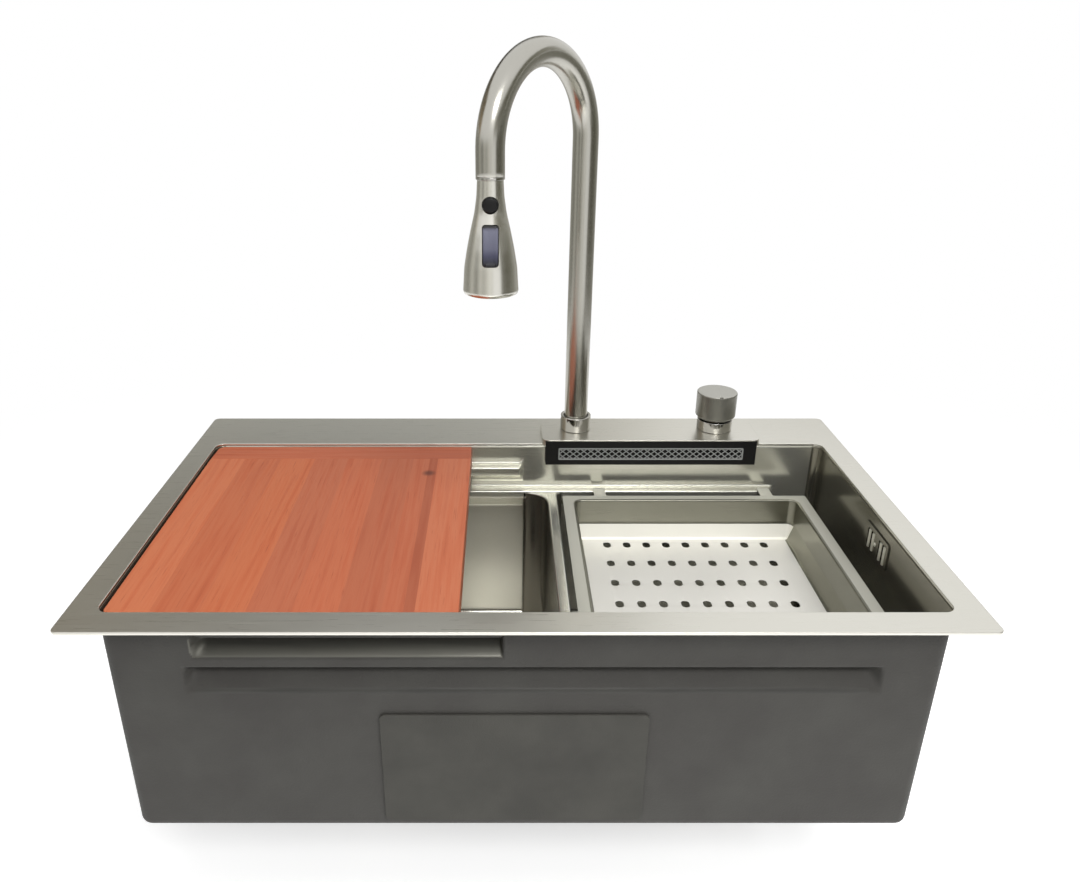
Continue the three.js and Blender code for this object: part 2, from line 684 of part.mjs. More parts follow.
function pads() {
  const top = fromRimTop(PAD_TOP_DROP)
  const outlineAt = (left, width) =>
    roundRectangle(left, left + width, top - PAD_HEIGHT, top, PAD_CORNER_RADIUS)
  // An outline drawn in width and height, stood up: its thickness then runs towards -Y
  const upright = (left, width) => prism(outlineAt(left, width), 0, PAD_THICKNESS).rotateX(RIGHT_ANGLE)
  const outside = TUB_WALL + SEAT_GAP
  const endPadLeft = TUB_MIDDLE_Y - END_PAD_WIDTH / 2
  const endPad = () => upright(endPadLeft, END_PAD_WIDTH).rotateZ(RIGHT_ANGLE)
  const floorPad = roundRectangle(
    -FLOOR_PAD_WIDTH / 2, FLOOR_PAD_WIDTH / 2,
    -FLOOR_PAD_LENGTH / 2, FLOOR_PAD_LENGTH / 2,
    PAD_CORNER_RADIUS,
  )
  const floorPadX = (LEFT_DRAIN_X + RIGHT_DRAIN_X) / 2
  const floorPadTop = TUB_BOTTOM - SEAT_GAP
  return [
    piece('pad_front', upright(FRONT_PAD_LEFT, FRONT_PAD_WIDTH).translate(0, TUB_FRONT - outside, 0), 'pad'),
    piece('pad_rear',
      upright(FRONT_PAD_LEFT, FRONT_PAD_WIDTH).translate(0, TUB_REAR + outside + PAD_THICKNESS, 0), 'pad'),
    piece('pad_left', endPad().translate(TUB_LEFT - outside - PAD_THICKNESS, 0, 0), 'pad'),
    piece('pad_right', endPad().translate(TUB_RIGHT + outside, 0, 0), 'pad'),
    piece('pad_floor',
      prism(floorPad, floorPadTop - PAD_THICKNESS, floorPadTop).translate(floorPadX, DRAIN_Y, 0), 'pad'),
  ]
}

// ---- Overflow -------------------------------------------------------------------------------------

const OVERFLOW_Z = fromRimTop(OVERFLOW_DROP)
const HOUSING_BOTTOM = OVERFLOW_Z - OVERFLOW_HOUSING_HEIGHT / 2
const FOOT_BOTTOM = HOUSING_BOTTOM - OVERFLOW_FOOT_HEIGHT
const HOUSING_X = TUB_RIGHT + TUB_WALL + SEAT_GAP
const OVERFLOW_PIPE_RADIUS = OVERFLOW_PIPE_DIAMETER / 2
const OVERFLOW_PIPE_X = HOUSING_X + PAD_THICKNESS + RUNNING_GAP + OVERFLOW_PIPE_RADIUS
const DRAIN_INLET_Z = RECESS_TOP - DRAIN_INLET_DROP
const DRAIN_INLET_END_X = RIGHT_DRAIN_X + DRAIN_CUP_DIAMETER / 2 + DRAIN_INLET_LENGTH

function overflowHole() {
  const slot = roundRectangle(
    OVERFLOW_Y - OVERFLOW_PAIR_SPACING / 2 - OVERFLOW_SLOT_SPACING,
    OVERFLOW_Y + OVERFLOW_PAIR_SPACING / 2 + OVERFLOW_SLOT_SPACING,
    OVERFLOW_Z - OVERFLOW_SLOT_HEIGHT / 2, OVERFLOW_Z + OVERFLOW_SLOT_HEIGHT / 2,
    OVERFLOW_SLOT_WIDTH / 2,
  )
  return prism(slot, -2 * TUB_WALL, 2 * TUB_WALL).rotateX(RIGHT_ANGLE).rotateZ(RIGHT_ANGLE)
    .translate(TUB_RIGHT, 0, 0)
}

// A thin cover on the inside of the wall, with two pairs of upright slots
function overflowCover() {
  const outline = roundRectangle(
    OVERFLOW_Y - OVERFLOW_COVER_LENGTH / 2, OVERFLOW_Y + OVERFLOW_COVER_LENGTH / 2,
    OVERFLOW_Z - OVERFLOW_COVER_HEIGHT / 2, OVERFLOW_Z + OVERFLOW_COVER_HEIGHT / 2,
    OVERFLOW_SLOT_WIDTH / 2,
  )
  const slots = [-1, 1].flatMap(pair => [-1, 1].map(side => {
    const y = OVERFLOW_Y + pair * OVERFLOW_PAIR_SPACING / 2 + side * OVERFLOW_SLOT_SPACING / 2
    return roundRectangle(
      y - OVERFLOW_SLOT_WIDTH / 2, y + OVERFLOW_SLOT_WIDTH / 2,
      OVERFLOW_Z - OVERFLOW_SLOT_HEIGHT / 2, OVERFLOW_Z + OVERFLOW_SLOT_HEIGHT / 2,
      OVERFLOW_SLOT_ROUND, 2,
    )
  }))
  const plate = prism(outline, 0, OVERFLOW_COVER_THICKNESS, slots).rotateX(RIGHT_ANGLE).rotateZ(RIGHT_ANGLE)
  const geometry = plate.translate(TUB_RIGHT - SEAT_GAP - OVERFLOW_COVER_THICKNESS, 0, 0)
  return piece('overflow_cover', geometry, 'polishedSteel')
}

// A box outside the wall, open towards the wall and shallow beside the worktop. Its foot, below the
// worktop, stands out further to carry the pipe.
function overflowHousing() {
  const wall = OVERFLOW_HOUSING_WALL
  const half = OVERFLOW_HOUSING_LENGTH / 2
  const top = OVERFLOW_Z + OVERFLOW_HOUSING_HEIGHT / 2
  const outer = HOUSING_X + OVERFLOW_HOUSING_DEPTH
  const footOuter = OVERFLOW_PIPE_X + OVERFLOW_PIPE_RADIUS
  const footHalf = OVERFLOW_PIPE_RADIUS + wall
  const box = block(HOUSING_X, outer, OVERFLOW_Y - half, OVERFLOW_Y + half, HOUSING_BOTTOM, top)
  const foot = block(
    HOUSING_X, footOuter,
    OVERFLOW_Y - footHalf, OVERFLOW_Y + footHalf,
    FOOT_BOTTOM, HOUSING_BOTTOM + wall,
  )
  const hollow = block(
    HOUSING_X - OVERRUN, outer - wall,
    OVERFLOW_Y - half + wall, OVERFLOW_Y + half - wall,
    HOUSING_BOTTOM + wall, top - wall,
  )
  const footHollow = block(
    HOUSING_X + wall, footOuter - wall,
    OVERFLOW_Y - footHalf + wall, OVERFLOW_Y + footHalf - wall,
    FOOT_BOTTOM + wall, HOUSING_BOTTOM,
  )
  const way = block(
    HOUSING_X + wall, outer - wall,
    OVERFLOW_Y - footHalf + wall, OVERFLOW_Y + footHalf - wall,
    FOOT_BOTTOM + wall, HOUSING_BOTTOM + wall + OVERRUN,
  )
  const boreRadius = OVERFLOW_PIPE_RADIUS - OVERFLOW_PIPE_WALL
  const hole = ringSolid(boreRadius, 0, FOOT_BOTTOM - OVERRUN, FOOT_BOTTOM + wall + OVERRUN)
    .translate(OVERFLOW_PIPE_X, OVERFLOW_Y, 0)
  return piece('overflow_housing', cut(join(box, foot), hollow, footHollow, way, hole), 'blackPlastic')
}

function overflowPipe() {
  const bendX = OVERFLOW_PIPE_X - OVERFLOW_PIPE_BEND
  const bendZ = DRAIN_INLET_Z + OVERFLOW_PIPE_BEND
  const route = [
    [OVERFLOW_PIPE_X, FOOT_BOTTOM - SEAT_GAP, -RIGHT_ANGLE],
    ...bend(bendX, bendZ, OVERFLOW_PIPE_BEND, 0, -RIGHT_ANGLE, PIPE_BEND_STEPS),
    [DRAIN_INLET_END_X + SEAT_GAP, DRAIN_INLET_Z, -2 * RIGHT_ANGLE],
  ]
  const bore = OVERFLOW_PIPE_RADIUS - OVERFLOW_PIPE_WALL
  const tube = pipe(route, OVERFLOW_PIPE_RADIUS, bore, SMALL_SIDES)
  return piece('overflow_pipe', tube.translate(0, OVERFLOW_Y, 0), 'greyPlastic')
}

// ---- Drains ---------------------------------------------------------------------------------------

// Everything of one drain, about its own axis, with z as in the sink's frame
function drainPieces(side, hasInlet) {
  const cupRadius = DRAIN_CUP_DIAMETER / 2
  const cupBore = cupRadius - DRAIN_CUP_WALL
  const outletRadius = DRAIN_OUTLET_DIAMETER / 2
  const outletBore = outletRadius - DRAIN_OUTLET_WALL
  const flangeTop = RECESS_TOP + SEAT_GAP + DRAIN_FLANGE_THICKNESS
  const outletEnd = DRAIN_CUP_BOTTOM - DRAIN_OUTLET_LENGTH
  let body = turned([
    [outletBore, outletEnd],
    [outletRadius, outletEnd],
    [outletRadius, DRAIN_CUP_BOTTOM],
    [cupRadius, DRAIN_CUP_BOTTOM + DRAIN_CUP_WALL],
    [cupRadius, RECESS_TOP + SEAT_GAP],
    [DRAIN_FLANGE_DIAMETER / 2, RECESS_TOP + SEAT_GAP],
    [DRAIN_FLANGE_DIAMETER / 2, flangeTop],
    [cupBore, flangeTop],
    [cupBore, DRAIN_CUP_BOTTOM + 2 * DRAIN_CUP_WALL],
    [outletBore, DRAIN_CUP_BOTTOM + DRAIN_CUP_WALL],
    [outletBore, outletEnd],
  ], FINE_SIDES)
  if (hasInlet) {
    const reach = cupRadius + DRAIN_INLET_LENGTH
    const tube = (radius, x0, x1) => ringSolid(radius, 0, x0, x1, SMALL_SIDES)
      .rotateY(RIGHT_ANGLE).translate(0, 0, DRAIN_INLET_Z)
    const spigot = tube(OVERFLOW_PIPE_RADIUS, cupBore + DRAIN_CUP_WALL / 2, reach)
    const boreRadius = OVERFLOW_PIPE_RADIUS - OVERFLOW_PIPE_WALL
    const bore = tube(boreRadius, cupBore - 2 * DRAIN_CUP_WALL, reach + OVERRUN)
    body = cut(join(body, spigot), bore)
  }
  const underDish = RECESS_TOP - TUB_WALL - SEAT_GAP
  const gasketBottom = underDish - DRAIN_GASKET_THICKNESS
  const nutTop = gasketBottom - SEAT_GAP
  const boreRound = cupRadius + SEAT_GAP
  const slipTop = outletEnd + SLIP_NUT_HEIGHT / 2
  const tailTop = outletEnd - SEAT_GAP
  const tailRadius = TAIL_DIAMETER / 2
  const tail = turned([
    [tailRadius - TAIL_WALL, tailTop - TAIL_LENGTH],
    [tailRadius, tailTop - TAIL_LENGTH],
    [tailRadius, tailTop - DRAIN_CUP_WALL],
    [outletRadius, tailTop - DRAIN_CUP_WALL],
    [outletRadius, tailTop],
    [tailRadius - TAIL_WALL, tailTop],
    [tailRadius - TAIL_WALL, tailTop - TAIL_LENGTH],
  ], FINE_SIDES)
  const slipNut = turned([
    [tailRadius + SEAT_GAP, slipTop - SLIP_NUT_HEIGHT],
    [SLIP_NUT_DIAMETER / 2, slipTop - SLIP_NUT_HEIGHT],
    [SLIP_NUT_DIAMETER / 2, slipTop],
    [outletRadius + SEAT_GAP, slipTop],
    [outletRadius + SEAT_GAP, tailTop - DRAIN_CUP_WALL - SEAT_GAP],
    [tailRadius + SEAT_GAP, tailTop - DRAIN_CUP_WALL - SEAT_GAP],
    [tailRadius + SEAT_GAP, slipTop - SLIP_NUT_HEIGHT],
  ], FINE_SIDES)
  const gasket = ringSolid(DRAIN_FLANGE_DIAMETER / 2, boreRound, gasketBottom, underDish, FINE_SIDES)
  const nut = ringSolid(DRAIN_NUT_DIAMETER / 2, boreRound, nutTop - DRAIN_NUT_HEIGHT, nutTop, FINE_SIDES)
  return [
    piece(`${side}_drain_body`, body, 'brushedSteel'),
    piece(`${side}_drain_gasket`, gasket, 'rubber'),
    piece(`${side}_drain_nut`, nut, 'whitePlastic'),
    piece(`${side}_drain_tail`, tail, 'whitePlastic'),
    piece(`${side}_slip_nut`, slipNut, 'whitePlastic'),
    piece(`${side}_strainer_basket`, strainerBasket(flangeTop), 'polishedSteel'),
  ]
}

// A round cup with a ring of holes in its floor, a lip that rests on the drain's flange and a knob
function strainerBasket(flangeTop) {
  const lipUnder = flangeTop + SEAT_GAP
  const lipTop = lipUnder + BASKET_WALL
  const cupRadius = BASKET_DIAMETER / 2
  const lipRadius = DRAIN_CUP_DIAMETER / 2 + BASKET_WALL
  const floor = lipTop - BASKET_DEPTH
  const knobRadius = BASKET_KNOB_DIAMETER / 2
  const knobStemRadius = BASKET_KNOB_STEM_DIAMETER / 2
  const knobTop = floor + BASKET_WALL + BASKET_KNOB_HEIGHT
  const cup = turned([
    [0, floor],
    [cupRadius - BASKET_FLOOR_CHAMFER, floor],
    [cupRadius, floor + BASKET_FLOOR_CHAMFER],
    [cupRadius, lipUnder],
    [lipRadius, lipUnder],
    [lipRadius, lipTop],
    [cupRadius - BASKET_WALL, lipTop],
    [cupRadius - BASKET_WALL, floor + BASKET_FLOOR_CHAMFER],
    [cupRadius - BASKET_FLOOR_CHAMFER, floor + BASKET_WALL],
    [knobStemRadius, floor + BASKET_WALL],
    [knobStemRadius, knobTop - BASKET_KNOB_HEAD],
    [knobRadius, knobTop - BASKET_KNOB_HEAD + BASKET_WALL],
    [knobRadius, knobTop],
    [0, knobTop],
  ], FINE_SIDES)
  const ringRadius = (cupRadius + knobRadius) / 2
  const holes = Array.from({ length: BASKET_HOLE_COUNT }, (_, i) => {
    const angle = (i / BASKET_HOLE_COUNT) * 2 * Math.PI
    return ringSolid(BASKET_HOLE_DIAMETER / 2, 0, floor - OVERRUN, floor + BASKET_WALL + OVERRUN, BOLT_SIDES)
      .translate(ringRadius * Math.cos(angle), ringRadius * Math.sin(angle), 0)
  })
  return cut(cup, ...holes)
}

// ---- Chopping board -------------------------------------------------------------------------------

function choppingBoard() {
  const left = TUB_LEFT + BOARD_LEFT_GAP
  const right = left + BOARD_WIDTH
  const front = TUB_FRONT + BOARD_END_GAP
  const rear = TUB_REAR - BOARD_END_GAP
  const top = fromRimTop(BOARD_DROP)
  const bottom = top - BOARD_THICKNESS
  const seam = rear - BOARD_CLEAT_DEPTH
  const ease = BOARD_EDGE_ROUND
  const innerRadius = Math.max(ease, TUB_CORNER_RADIUS - BOARD_END_GAP)
  // The whole board with eased edges, its left corners rounded to clear the tub's
  const outline = roundRectangle(
    left + ease, right - ease, front + ease, rear - ease,
    ease, CORNER_STEPS, innerRadius,
  )
  const board = new THREE.ExtrudeGeometry(new THREE.Shape(outline), {
    depth: BOARD_THICKNESS - 2 * ease, bevelThickness: ease, bevelSize: ease, bevelSegments: 1,
  }).translate(0, 0, bottom + ease)
  const part = (y0, y1) =>
    common(board, block(left - OVERRUN, right + OVERRUN, y0, y1, bottom - OVERRUN, top + OVERRUN))
  return [
    piece('board_panel', part(front - OVERRUN, seam - SEAT_GAP), 'wood'),
    piece('board_cleat', part(seam, rear + OVERRUN), 'wood'),
  ]
}

// ---- Drain tray -----------------------------------------------------------------------------------

function drainTray() {
  const left = DIVIDER_RIGHT + TRAY_DIVIDER_GAP
  const right = TUB_RIGHT - TRAY_END_CLEARANCE
  const front = TUB_FRONT + TRAY_WALL_CLEARANCE
  const rear = TUB_REAR - TRAY_WALL_CLEARANCE
  const middleX = (left + right) / 2
  const floorTop = TRAY_TOP - TRAY_FLOOR_DEPTH
  const ringAt = (offset, inset, z) => roundRectangle(
    left + TRAY_FLANGE_SIDE - offset + inset, right - TRAY_FLANGE_SIDE + offset - inset,
    front + TRAY_FLANGE_END - offset + inset, rear - TRAY_FLANGE_END + offset - inset,
    TRAY_CORNER_RADIUS + offset - inset,
  ).map(point => new THREE.Vector3(point.x, point.y, z))
  // Upright wall, then a foot that leans in towards the floor
  const trayForm = (offset, floor, top) => loft([
    ringAt(offset, TRAY_FOOT_INSET, floor),
    ringAt(offset, 0, floor + TRAY_FOOT_HEIGHT),
    ringAt(offset, 0, top),
  ])
  const flangeUnder = TRAY_TOP - TRAY_SHEET
  // The ears pass the waterfall outlet when the tray is lifted out
  const earEndGap = PLATE_OVERHANG + GRILLE_PROUD + RUNNING_GAP
  const ears = [-1, 1].map(side => {
    const x = middleX + side * TRAY_EAR_SPACING / 2
    return block(
      x - TRAY_EAR_WIDTH / 2, x + TRAY_EAR_WIDTH / 2,
      TUB_FRONT + earEndGap, TUB_REAR - earEndGap, flangeUnder, TRAY_TOP,
    )
  })
  const flange = block(left, right, front, rear, flangeUnder, TRAY_TOP)
  const outside = trayForm(TRAY_SHEET, floorTop - TRAY_SHEET, TRAY_TOP)
  const shell = cut(join(flange, ...ears, outside), trayForm(0, floorTop, TRAY_TOP + OVERRUN))
  return piece('drain_tray', cut(shell, ...trayHoles(middleX, front, rear, floorTop)), 'brushedSteel')
}

function trayHoles(middleX, front, rear, floorTop) {
  const footRear = rear - TRAY_FLANGE_END - TRAY_FOOT_INSET
  const footFront = front + TRAY_FLANGE_END + TRAY_FOOT_INSET
  const field = footRear - footFront - 2 * TRAY_HOLE_MARGIN
  const rows = Math.floor(field / TRAY_HOLE_ROW_PITCH) + 1
  const [halfWidth, halfLength] = [TRAY_HOLE_WIDTH / 2, TRAY_HOLE_LENGTH / 2]
  const outline = roundRectangle(
    -halfWidth, halfWidth, -halfLength, halfLength, TRAY_HOLE_ROUND, HOLE_CORNER_STEPS,
  )
  const hole = () => prism(outline, floorTop - 2 * TRAY_SHEET, floorTop + OVERRUN)
  const holes = []
  for (let row = 0; row < rows; row++) {
    for (let column = 0; column < TRAY_HOLE_COLUMNS; column++) {
      const x = middleX + (column - (TRAY_HOLE_COLUMNS - 1) / 2) * TRAY_HOLE_COLUMN_PITCH
      const y = footRear - TRAY_HOLE_MARGIN - row * TRAY_HOLE_ROW_PITCH
      holes.push(hole().translate(x, y, 0))
    }
  }
  return holes
}

// ---- Tap plate and waterfall outlet ---------------------------------------------------------------

// The outlet in section: an upright box in front, and a flat channel that runs back inside the plate
function outletForm(grow) {
  const left = PLATE_LEFT + OUTLET_SIDE_MARGIN - grow
  const right = PLATE_RIGHT - OUTLET_SIDE_MARGIN + grow
  const back = OUTLET_FRONT + OUTLET_THICKNESS
  const front = OUTLET_FRONT - OVERRUN * Math.sign(grow)
  const face = block(left, right, front, back + grow, OUTLET_BOTTOM - grow, OUTLET_TOP + grow)
  const channelEnd = TAP_Y - Math.max(SHANK_DIAMETER, VALVE_DIAMETER) / 2 - OUTLET_CHANNEL_WEB
  const channel = block(
    left, right, back - OVERRUN, channelEnd + grow,
    OUTLET_TOP - OUTLET_CHANNEL_HEIGHT - grow, OUTLET_TOP + grow,
  )
  return join(face, channel)
}

function tapPlate() {
  const outline = roundRectangle(PLATE_LEFT, PLATE_RIGHT, PLATE_FRONT, PLATE_REAR, PLATE_CORNER_RADIUS)
  const holes = [
    circle(RISER_X, TAP_Y, SHANK_DIAMETER / 2 + SEAT_GAP),
    circle(KNOB_X, TAP_Y, VALVE_DIAMETER / 2 + SEAT_GAP),
  ]
  const plate = prism(outline, RIM_TOP + SEAT_GAP, PLATE_TOP, holes)
  return piece('tap_plate', cut(plate, outletForm(SEAT_GAP)), 'brushedSteel')
}

function waterfallPieces() {
  const middleX = (PLATE_LEFT + PLATE_RIGHT) / 2
  const middleZ = (OUTLET_TOP - PLATE_LIP + OUTLET_BOTTOM) / 2
  const left = middleX - GRILLE_WIDTH / 2
  const low = middleZ - GRILLE_HEIGHT / 2
  const recess = block(
    left - SEAT_GAP, left + GRILLE_WIDTH + SEAT_GAP,
    OUTLET_FRONT - OVERRUN, OUTLET_FRONT + GRILLE_THICKNESS - GRILLE_PROUD + SEAT_GAP,
    low - SEAT_GAP, low + GRILLE_HEIGHT + SEAT_GAP,
  )
  const slot = block(
    left + GRILLE_PITCH / 2, left + GRILLE_WIDTH - GRILLE_PITCH / 2,
    OUTLET_FRONT - OVERRUN, OUTLET_FRONT + OUTLET_THICKNESS - TUB_WALL,
    low + GRILLE_BAR, low + GRILLE_HEIGHT - GRILLE_BAR,
  )
  const housing = cut(outletForm(0), recess, slot)
  return [
    piece('waterfall_outlet', housing, 'blackPlastic'),
    piece('waterfall_grille', grille(left, low), 'greyPlastic'),
  ]
}

// A strip pierced by staggered rows of diamonds, so that crossing bars are left between them
function grille(left, low) {
  const right = left + GRILLE_WIDTH
  const high = low + GRILLE_HEIGHT
  const outline = [[left, low], [right, low], [right, high], [left, high]]
    .map(([x, z]) => new THREE.Vector2(x, z))
  const rowPitch = (GRILLE_HEIGHT - GRILLE_DIAMOND_HEIGHT - 2 * GRILLE_BAR) / (GRILLE_ROWS - 1)
  const halfWidth = GRILLE_DIAMOND_WIDTH / 2
  const halfHeight = GRILLE_DIAMOND_HEIGHT / 2
  const diamonds = []
  for (let row = 0; row < GRILLE_ROWS; row++) {
    const shift = (row % 2) * GRILLE_PITCH / 2
    const z = (low + high) / 2 + (row - (GRILLE_ROWS - 1) / 2) * rowPitch
    const count = Math.floor((GRILLE_WIDTH - GRILLE_PITCH - shift) / GRILLE_PITCH)
    for (let i = 0; i < count; i++) {
      const x = left + GRILLE_PITCH + shift + i * GRILLE_PITCH
      diamonds.push([
        new THREE.Vector2(x - halfWidth, z), new THREE.Vector2(x, z - halfHeight),
        new THREE.Vector2(x + halfWidth, z), new THREE.Vector2(x, z + halfHeight),
      ])
    }
  }
  const strip = prism(outline, 0, GRILLE_THICKNESS, diamonds).rotateX(RIGHT_ANGLE)
  return strip.translate(0, OUTLET_FRONT + GRILLE_THICKNESS - GRILLE_PROUD, 0)
}

// ---- Riser and gooseneck --------------------------------------------------------------------------

// Fixed pieces round the riser's axis
function riserPieces() {
  const shankRadius = SHANK_DIAMETER / 2
  const neckFit = NECK_RADIUS + RUNNING_GAP
  const deckUnder = SEAL_THICKNESS - SEAT_GAP
  const washerBottom = deckUnder - DECK_WASHER_THICKNESS
  const collarTop = PLATE_TOP + COLLAR_HEIGHT
  const collar = ringSolid(COLLAR_DIAMETER / 2, neckFit, PLATE_TOP + SEAT_GAP, collarTop, FINE_SIDES)
  const shank = ringSolid(shankRadius, shankRadius - SHANK_WALL, PLATE_TOP - SHANK_LENGTH, PLATE_TOP)
  return groupAt(RISER_X, TAP_Y, 0,
    piece('riser_collar', collar, 'polishedSteel'),
    piece('riser_shank', shank, 'brass'),
    ...deckFixings('riser', shankRadius, washerBottom),
  )
}

// A rubber washer and a nut under the deck, round a threaded shank
function deckFixings(name, shankRadius, washerBottom) {
  const bore = shankRadius + SEAT_GAP
  const nutTop = washerBottom - SEAT_GAP
  const washerTop = washerBottom + DECK_WASHER_THICKNESS
  const hexagon = circle(0, 0, DECK_NUT_DIAMETER / 2, BOLT_SIDES)
  const nut = prism(hexagon, nutTop - DECK_NUT_HEIGHT, nutTop, [circle(0, 0, bore)])
  return [
    piece(`${name}_washer`, ringSolid(DECK_WASHER_DIAMETER / 2, bore, washerBottom, washerTop), 'rubber'),
    piece(`${name}_nut`, nut, 'brass'),
  ]
}

// The pipe's middle line, from the collar up, over the bend and down to the spout's tip
function neckRoute(bottom, tip) {
  return [
    [0, bottom, RIGHT_ANGLE],
    ...bend(BEND_RADIUS, NECK_SPRING_Z, BEND_RADIUS, Math.PI, 0, NECK_BEND_STEPS),
    [NECK_REACH, tip, -RIGHT_ANGLE],
  ]
}

function neckPieces() {
  const neck = pipe(neckRoute(PLATE_TOP + 2 * SEAT_GAP, SPOUT_TIP_Z), NECK_RADIUS, NECK_BORE, PLAIN_SIDES)
  const hoseRoute = neckRoute(PLATE_TOP - SHANK_LENGTH, HOSE_JOINT_Z)
  const hose = pipe(hoseRoute, HOSE_DIAMETER / 2, HOSE_BORE / 2, BOLT_SIDES)
  const group = groupAt(RISER_X, TAP_Y, 0,
    piece('gooseneck', neck, 'brushedSteel'),
    piece('neck_hose', hose, 'rubber'),
  )
  group.rotation.z = NECK_YAW
  return group
}

// ---- Spray head -----------------------------------------------------------------------------------

// Radius of the head at shares of its length from the bottom: a slim neck that flares like a trumpet
const HEAD_FLARE = [
  [0, 0.965], [0.03, 1], [0.24, 0.95], [0.4, 0.845],
  [0.56, 0.715], [0.72, 0.566], [0.86, 0.488], [1, HEAD_TOP_DIAMETER / HEAD_BOTTOM_DIAMETER],
]
const headRadiusAt = height => {
  const share = height / HEAD_LENGTH
  const above = Math.max(1, HEAD_FLARE.findIndex(([place]) => place >= share))
  const [[lowPlace, low], [highPlace, high]] = [HEAD_FLARE[above - 1], HEAD_FLARE[above]]
  return HEAD_BOTTOM_DIAMETER / 2 * (low + (high - low) * (share - lowPlace) / (highPlace - lowPlace))
}

function sprayPieces() {
  const flare = HEAD_FLARE.map(([share, radius]) => [HEAD_BOTTOM_DIAMETER / 2 * radius, HEAD_LENGTH * share])
  const inside = flare.slice(1).reverse().map(([radius, height]) => [radius - HEAD_WALL, height])
  const faceRadius = SPRAY_FACE_DIAMETER / 2
  const throat = faceRadius + SEAT_GAP
  const faceTop = SPRAY_FACE_RECESS + SPRAY_FACE_HEIGHT
  const shellProfile = [
    [throat, 0],
    ...flare,
    [inside[0][0], HEAD_LENGTH],
    ...inside.slice(1, -1),
    [throat, faceTop + 2 * HEAD_WALL],
    [throat, 0],
  ]
  const front = height => -headRadiusAt(height)
  const pauseHole = ringSolid(PAUSE_BUTTON_DIAMETER / 2 + BUTTON_GAP, 0, -HEAD_BOTTOM_DIAMETER, 0)
    .rotateX(-RIGHT_ANGLE).translate(0, 0, PAUSE_BUTTON_HEIGHT)
  const rockerHole = block(
    -ROCKER_WIDTH / 2 - BUTTON_GAP, ROCKER_WIDTH / 2 + BUTTON_GAP,
    -HEAD_BOTTOM_DIAMETER, 0,
    ROCKER_HEIGHT - ROCKER_LENGTH / 2 - BUTTON_GAP, ROCKER_HEIGHT + ROCKER_LENGTH / 2 + BUTTON_GAP,
  )
  const shell = cut(turned(shellProfile, FINE_SIDES), pauseHole, rockerHole)
  const face = ringSolid(faceRadius, 0, SPRAY_FACE_RECESS, faceTop, FINE_SIDES)
  const buttonFront = front(PAUSE_BUTTON_HEIGHT) - PAUSE_BUTTON_PROUD
  const button = ringSolid(PAUSE_BUTTON_DIAMETER / 2, 0, 0, PAUSE_BUTTON_DEPTH + PAUSE_BUTTON_PROUD)
    .rotateX(-RIGHT_ANGLE).translate(0, buttonFront, PAUSE_BUTTON_HEIGHT)
  // The rocker's face follows the slope of the head
  const [low, high] = [ROCKER_HEIGHT - ROCKER_LENGTH / 2, ROCKER_HEIGHT + ROCKER_LENGTH / 2]
  const rockerSide = [
    new THREE.Vector2(front(low) - ROCKER_PROUD, low), new THREE.Vector2(front(low) + ROCKER_DEPTH, low),
    new THREE.Vector2(front(high) + ROCKER_DEPTH, high), new THREE.Vector2(front(high) - ROCKER_PROUD, high),
  ]
  const rocker = prism(rockerSide, 0, ROCKER_WIDTH)
    .rotateX(RIGHT_ANGLE).rotateZ(RIGHT_ANGLE).translate(-ROCKER_WIDTH / 2, 0, 0)
  return groupAt(HEAD_X, HEAD_Y, HEAD_BOTTOM_Z,
    piece('spray_head', shell, 'brushedSteel'),
    piece('spray_face', face, 'greyPlastic'),
    piece('pause_button', button, 'blackPlastic'),
    piece('mode_rocker', rocker, 'rockerPlastic'),
  )
}

// The dock between the spout's tip and the head, and the stretch of hose that the head pulls out
function hosePieces() {
  const stemRadius = DOCK_STEM_DIAMETER / 2
  const ringBottom = SPOUT_TIP_Z - DOCK_RING_HEIGHT
  const dock = turned([
    [HOSE_BORE / 2, ringBottom],
    [NECK_RADIUS, ringBottom],
    [NECK_RADIUS, SPOUT_TIP_Z - SEAT_GAP],
    [stemRadius, SPOUT_TIP_Z - SEAT_GAP],
    [stemRadius, SPOUT_TIP_Z - SEAT_GAP + DOCK_STEM_LENGTH],
    [HOSE_BORE / 2, SPOUT_TIP_Z - SEAT_GAP + DOCK_STEM_LENGTH],
    [HOSE_BORE / 2, ringBottom],
  ], PLAIN_SIDES)
  const hoseBottom = SPOUT_TIP_Z + DOCK_STEM_LENGTH
  const hoseTop = HOSE_JOINT_Z - SEAT_GAP
  const hose = ringSolid(HOSE_DIAMETER / 2, HOSE_BORE / 2, hoseBottom, hoseTop, SMALL_SIDES)
  return groupAt(HEAD_X, HEAD_Y, 0,
    piece('hose_dock', dock, 'polishedSteel'),
    piece('spray_hose', hose, 'rubber'),
  )
}

// ---- Knob and mixing valve ------------------------------------------------------------------------

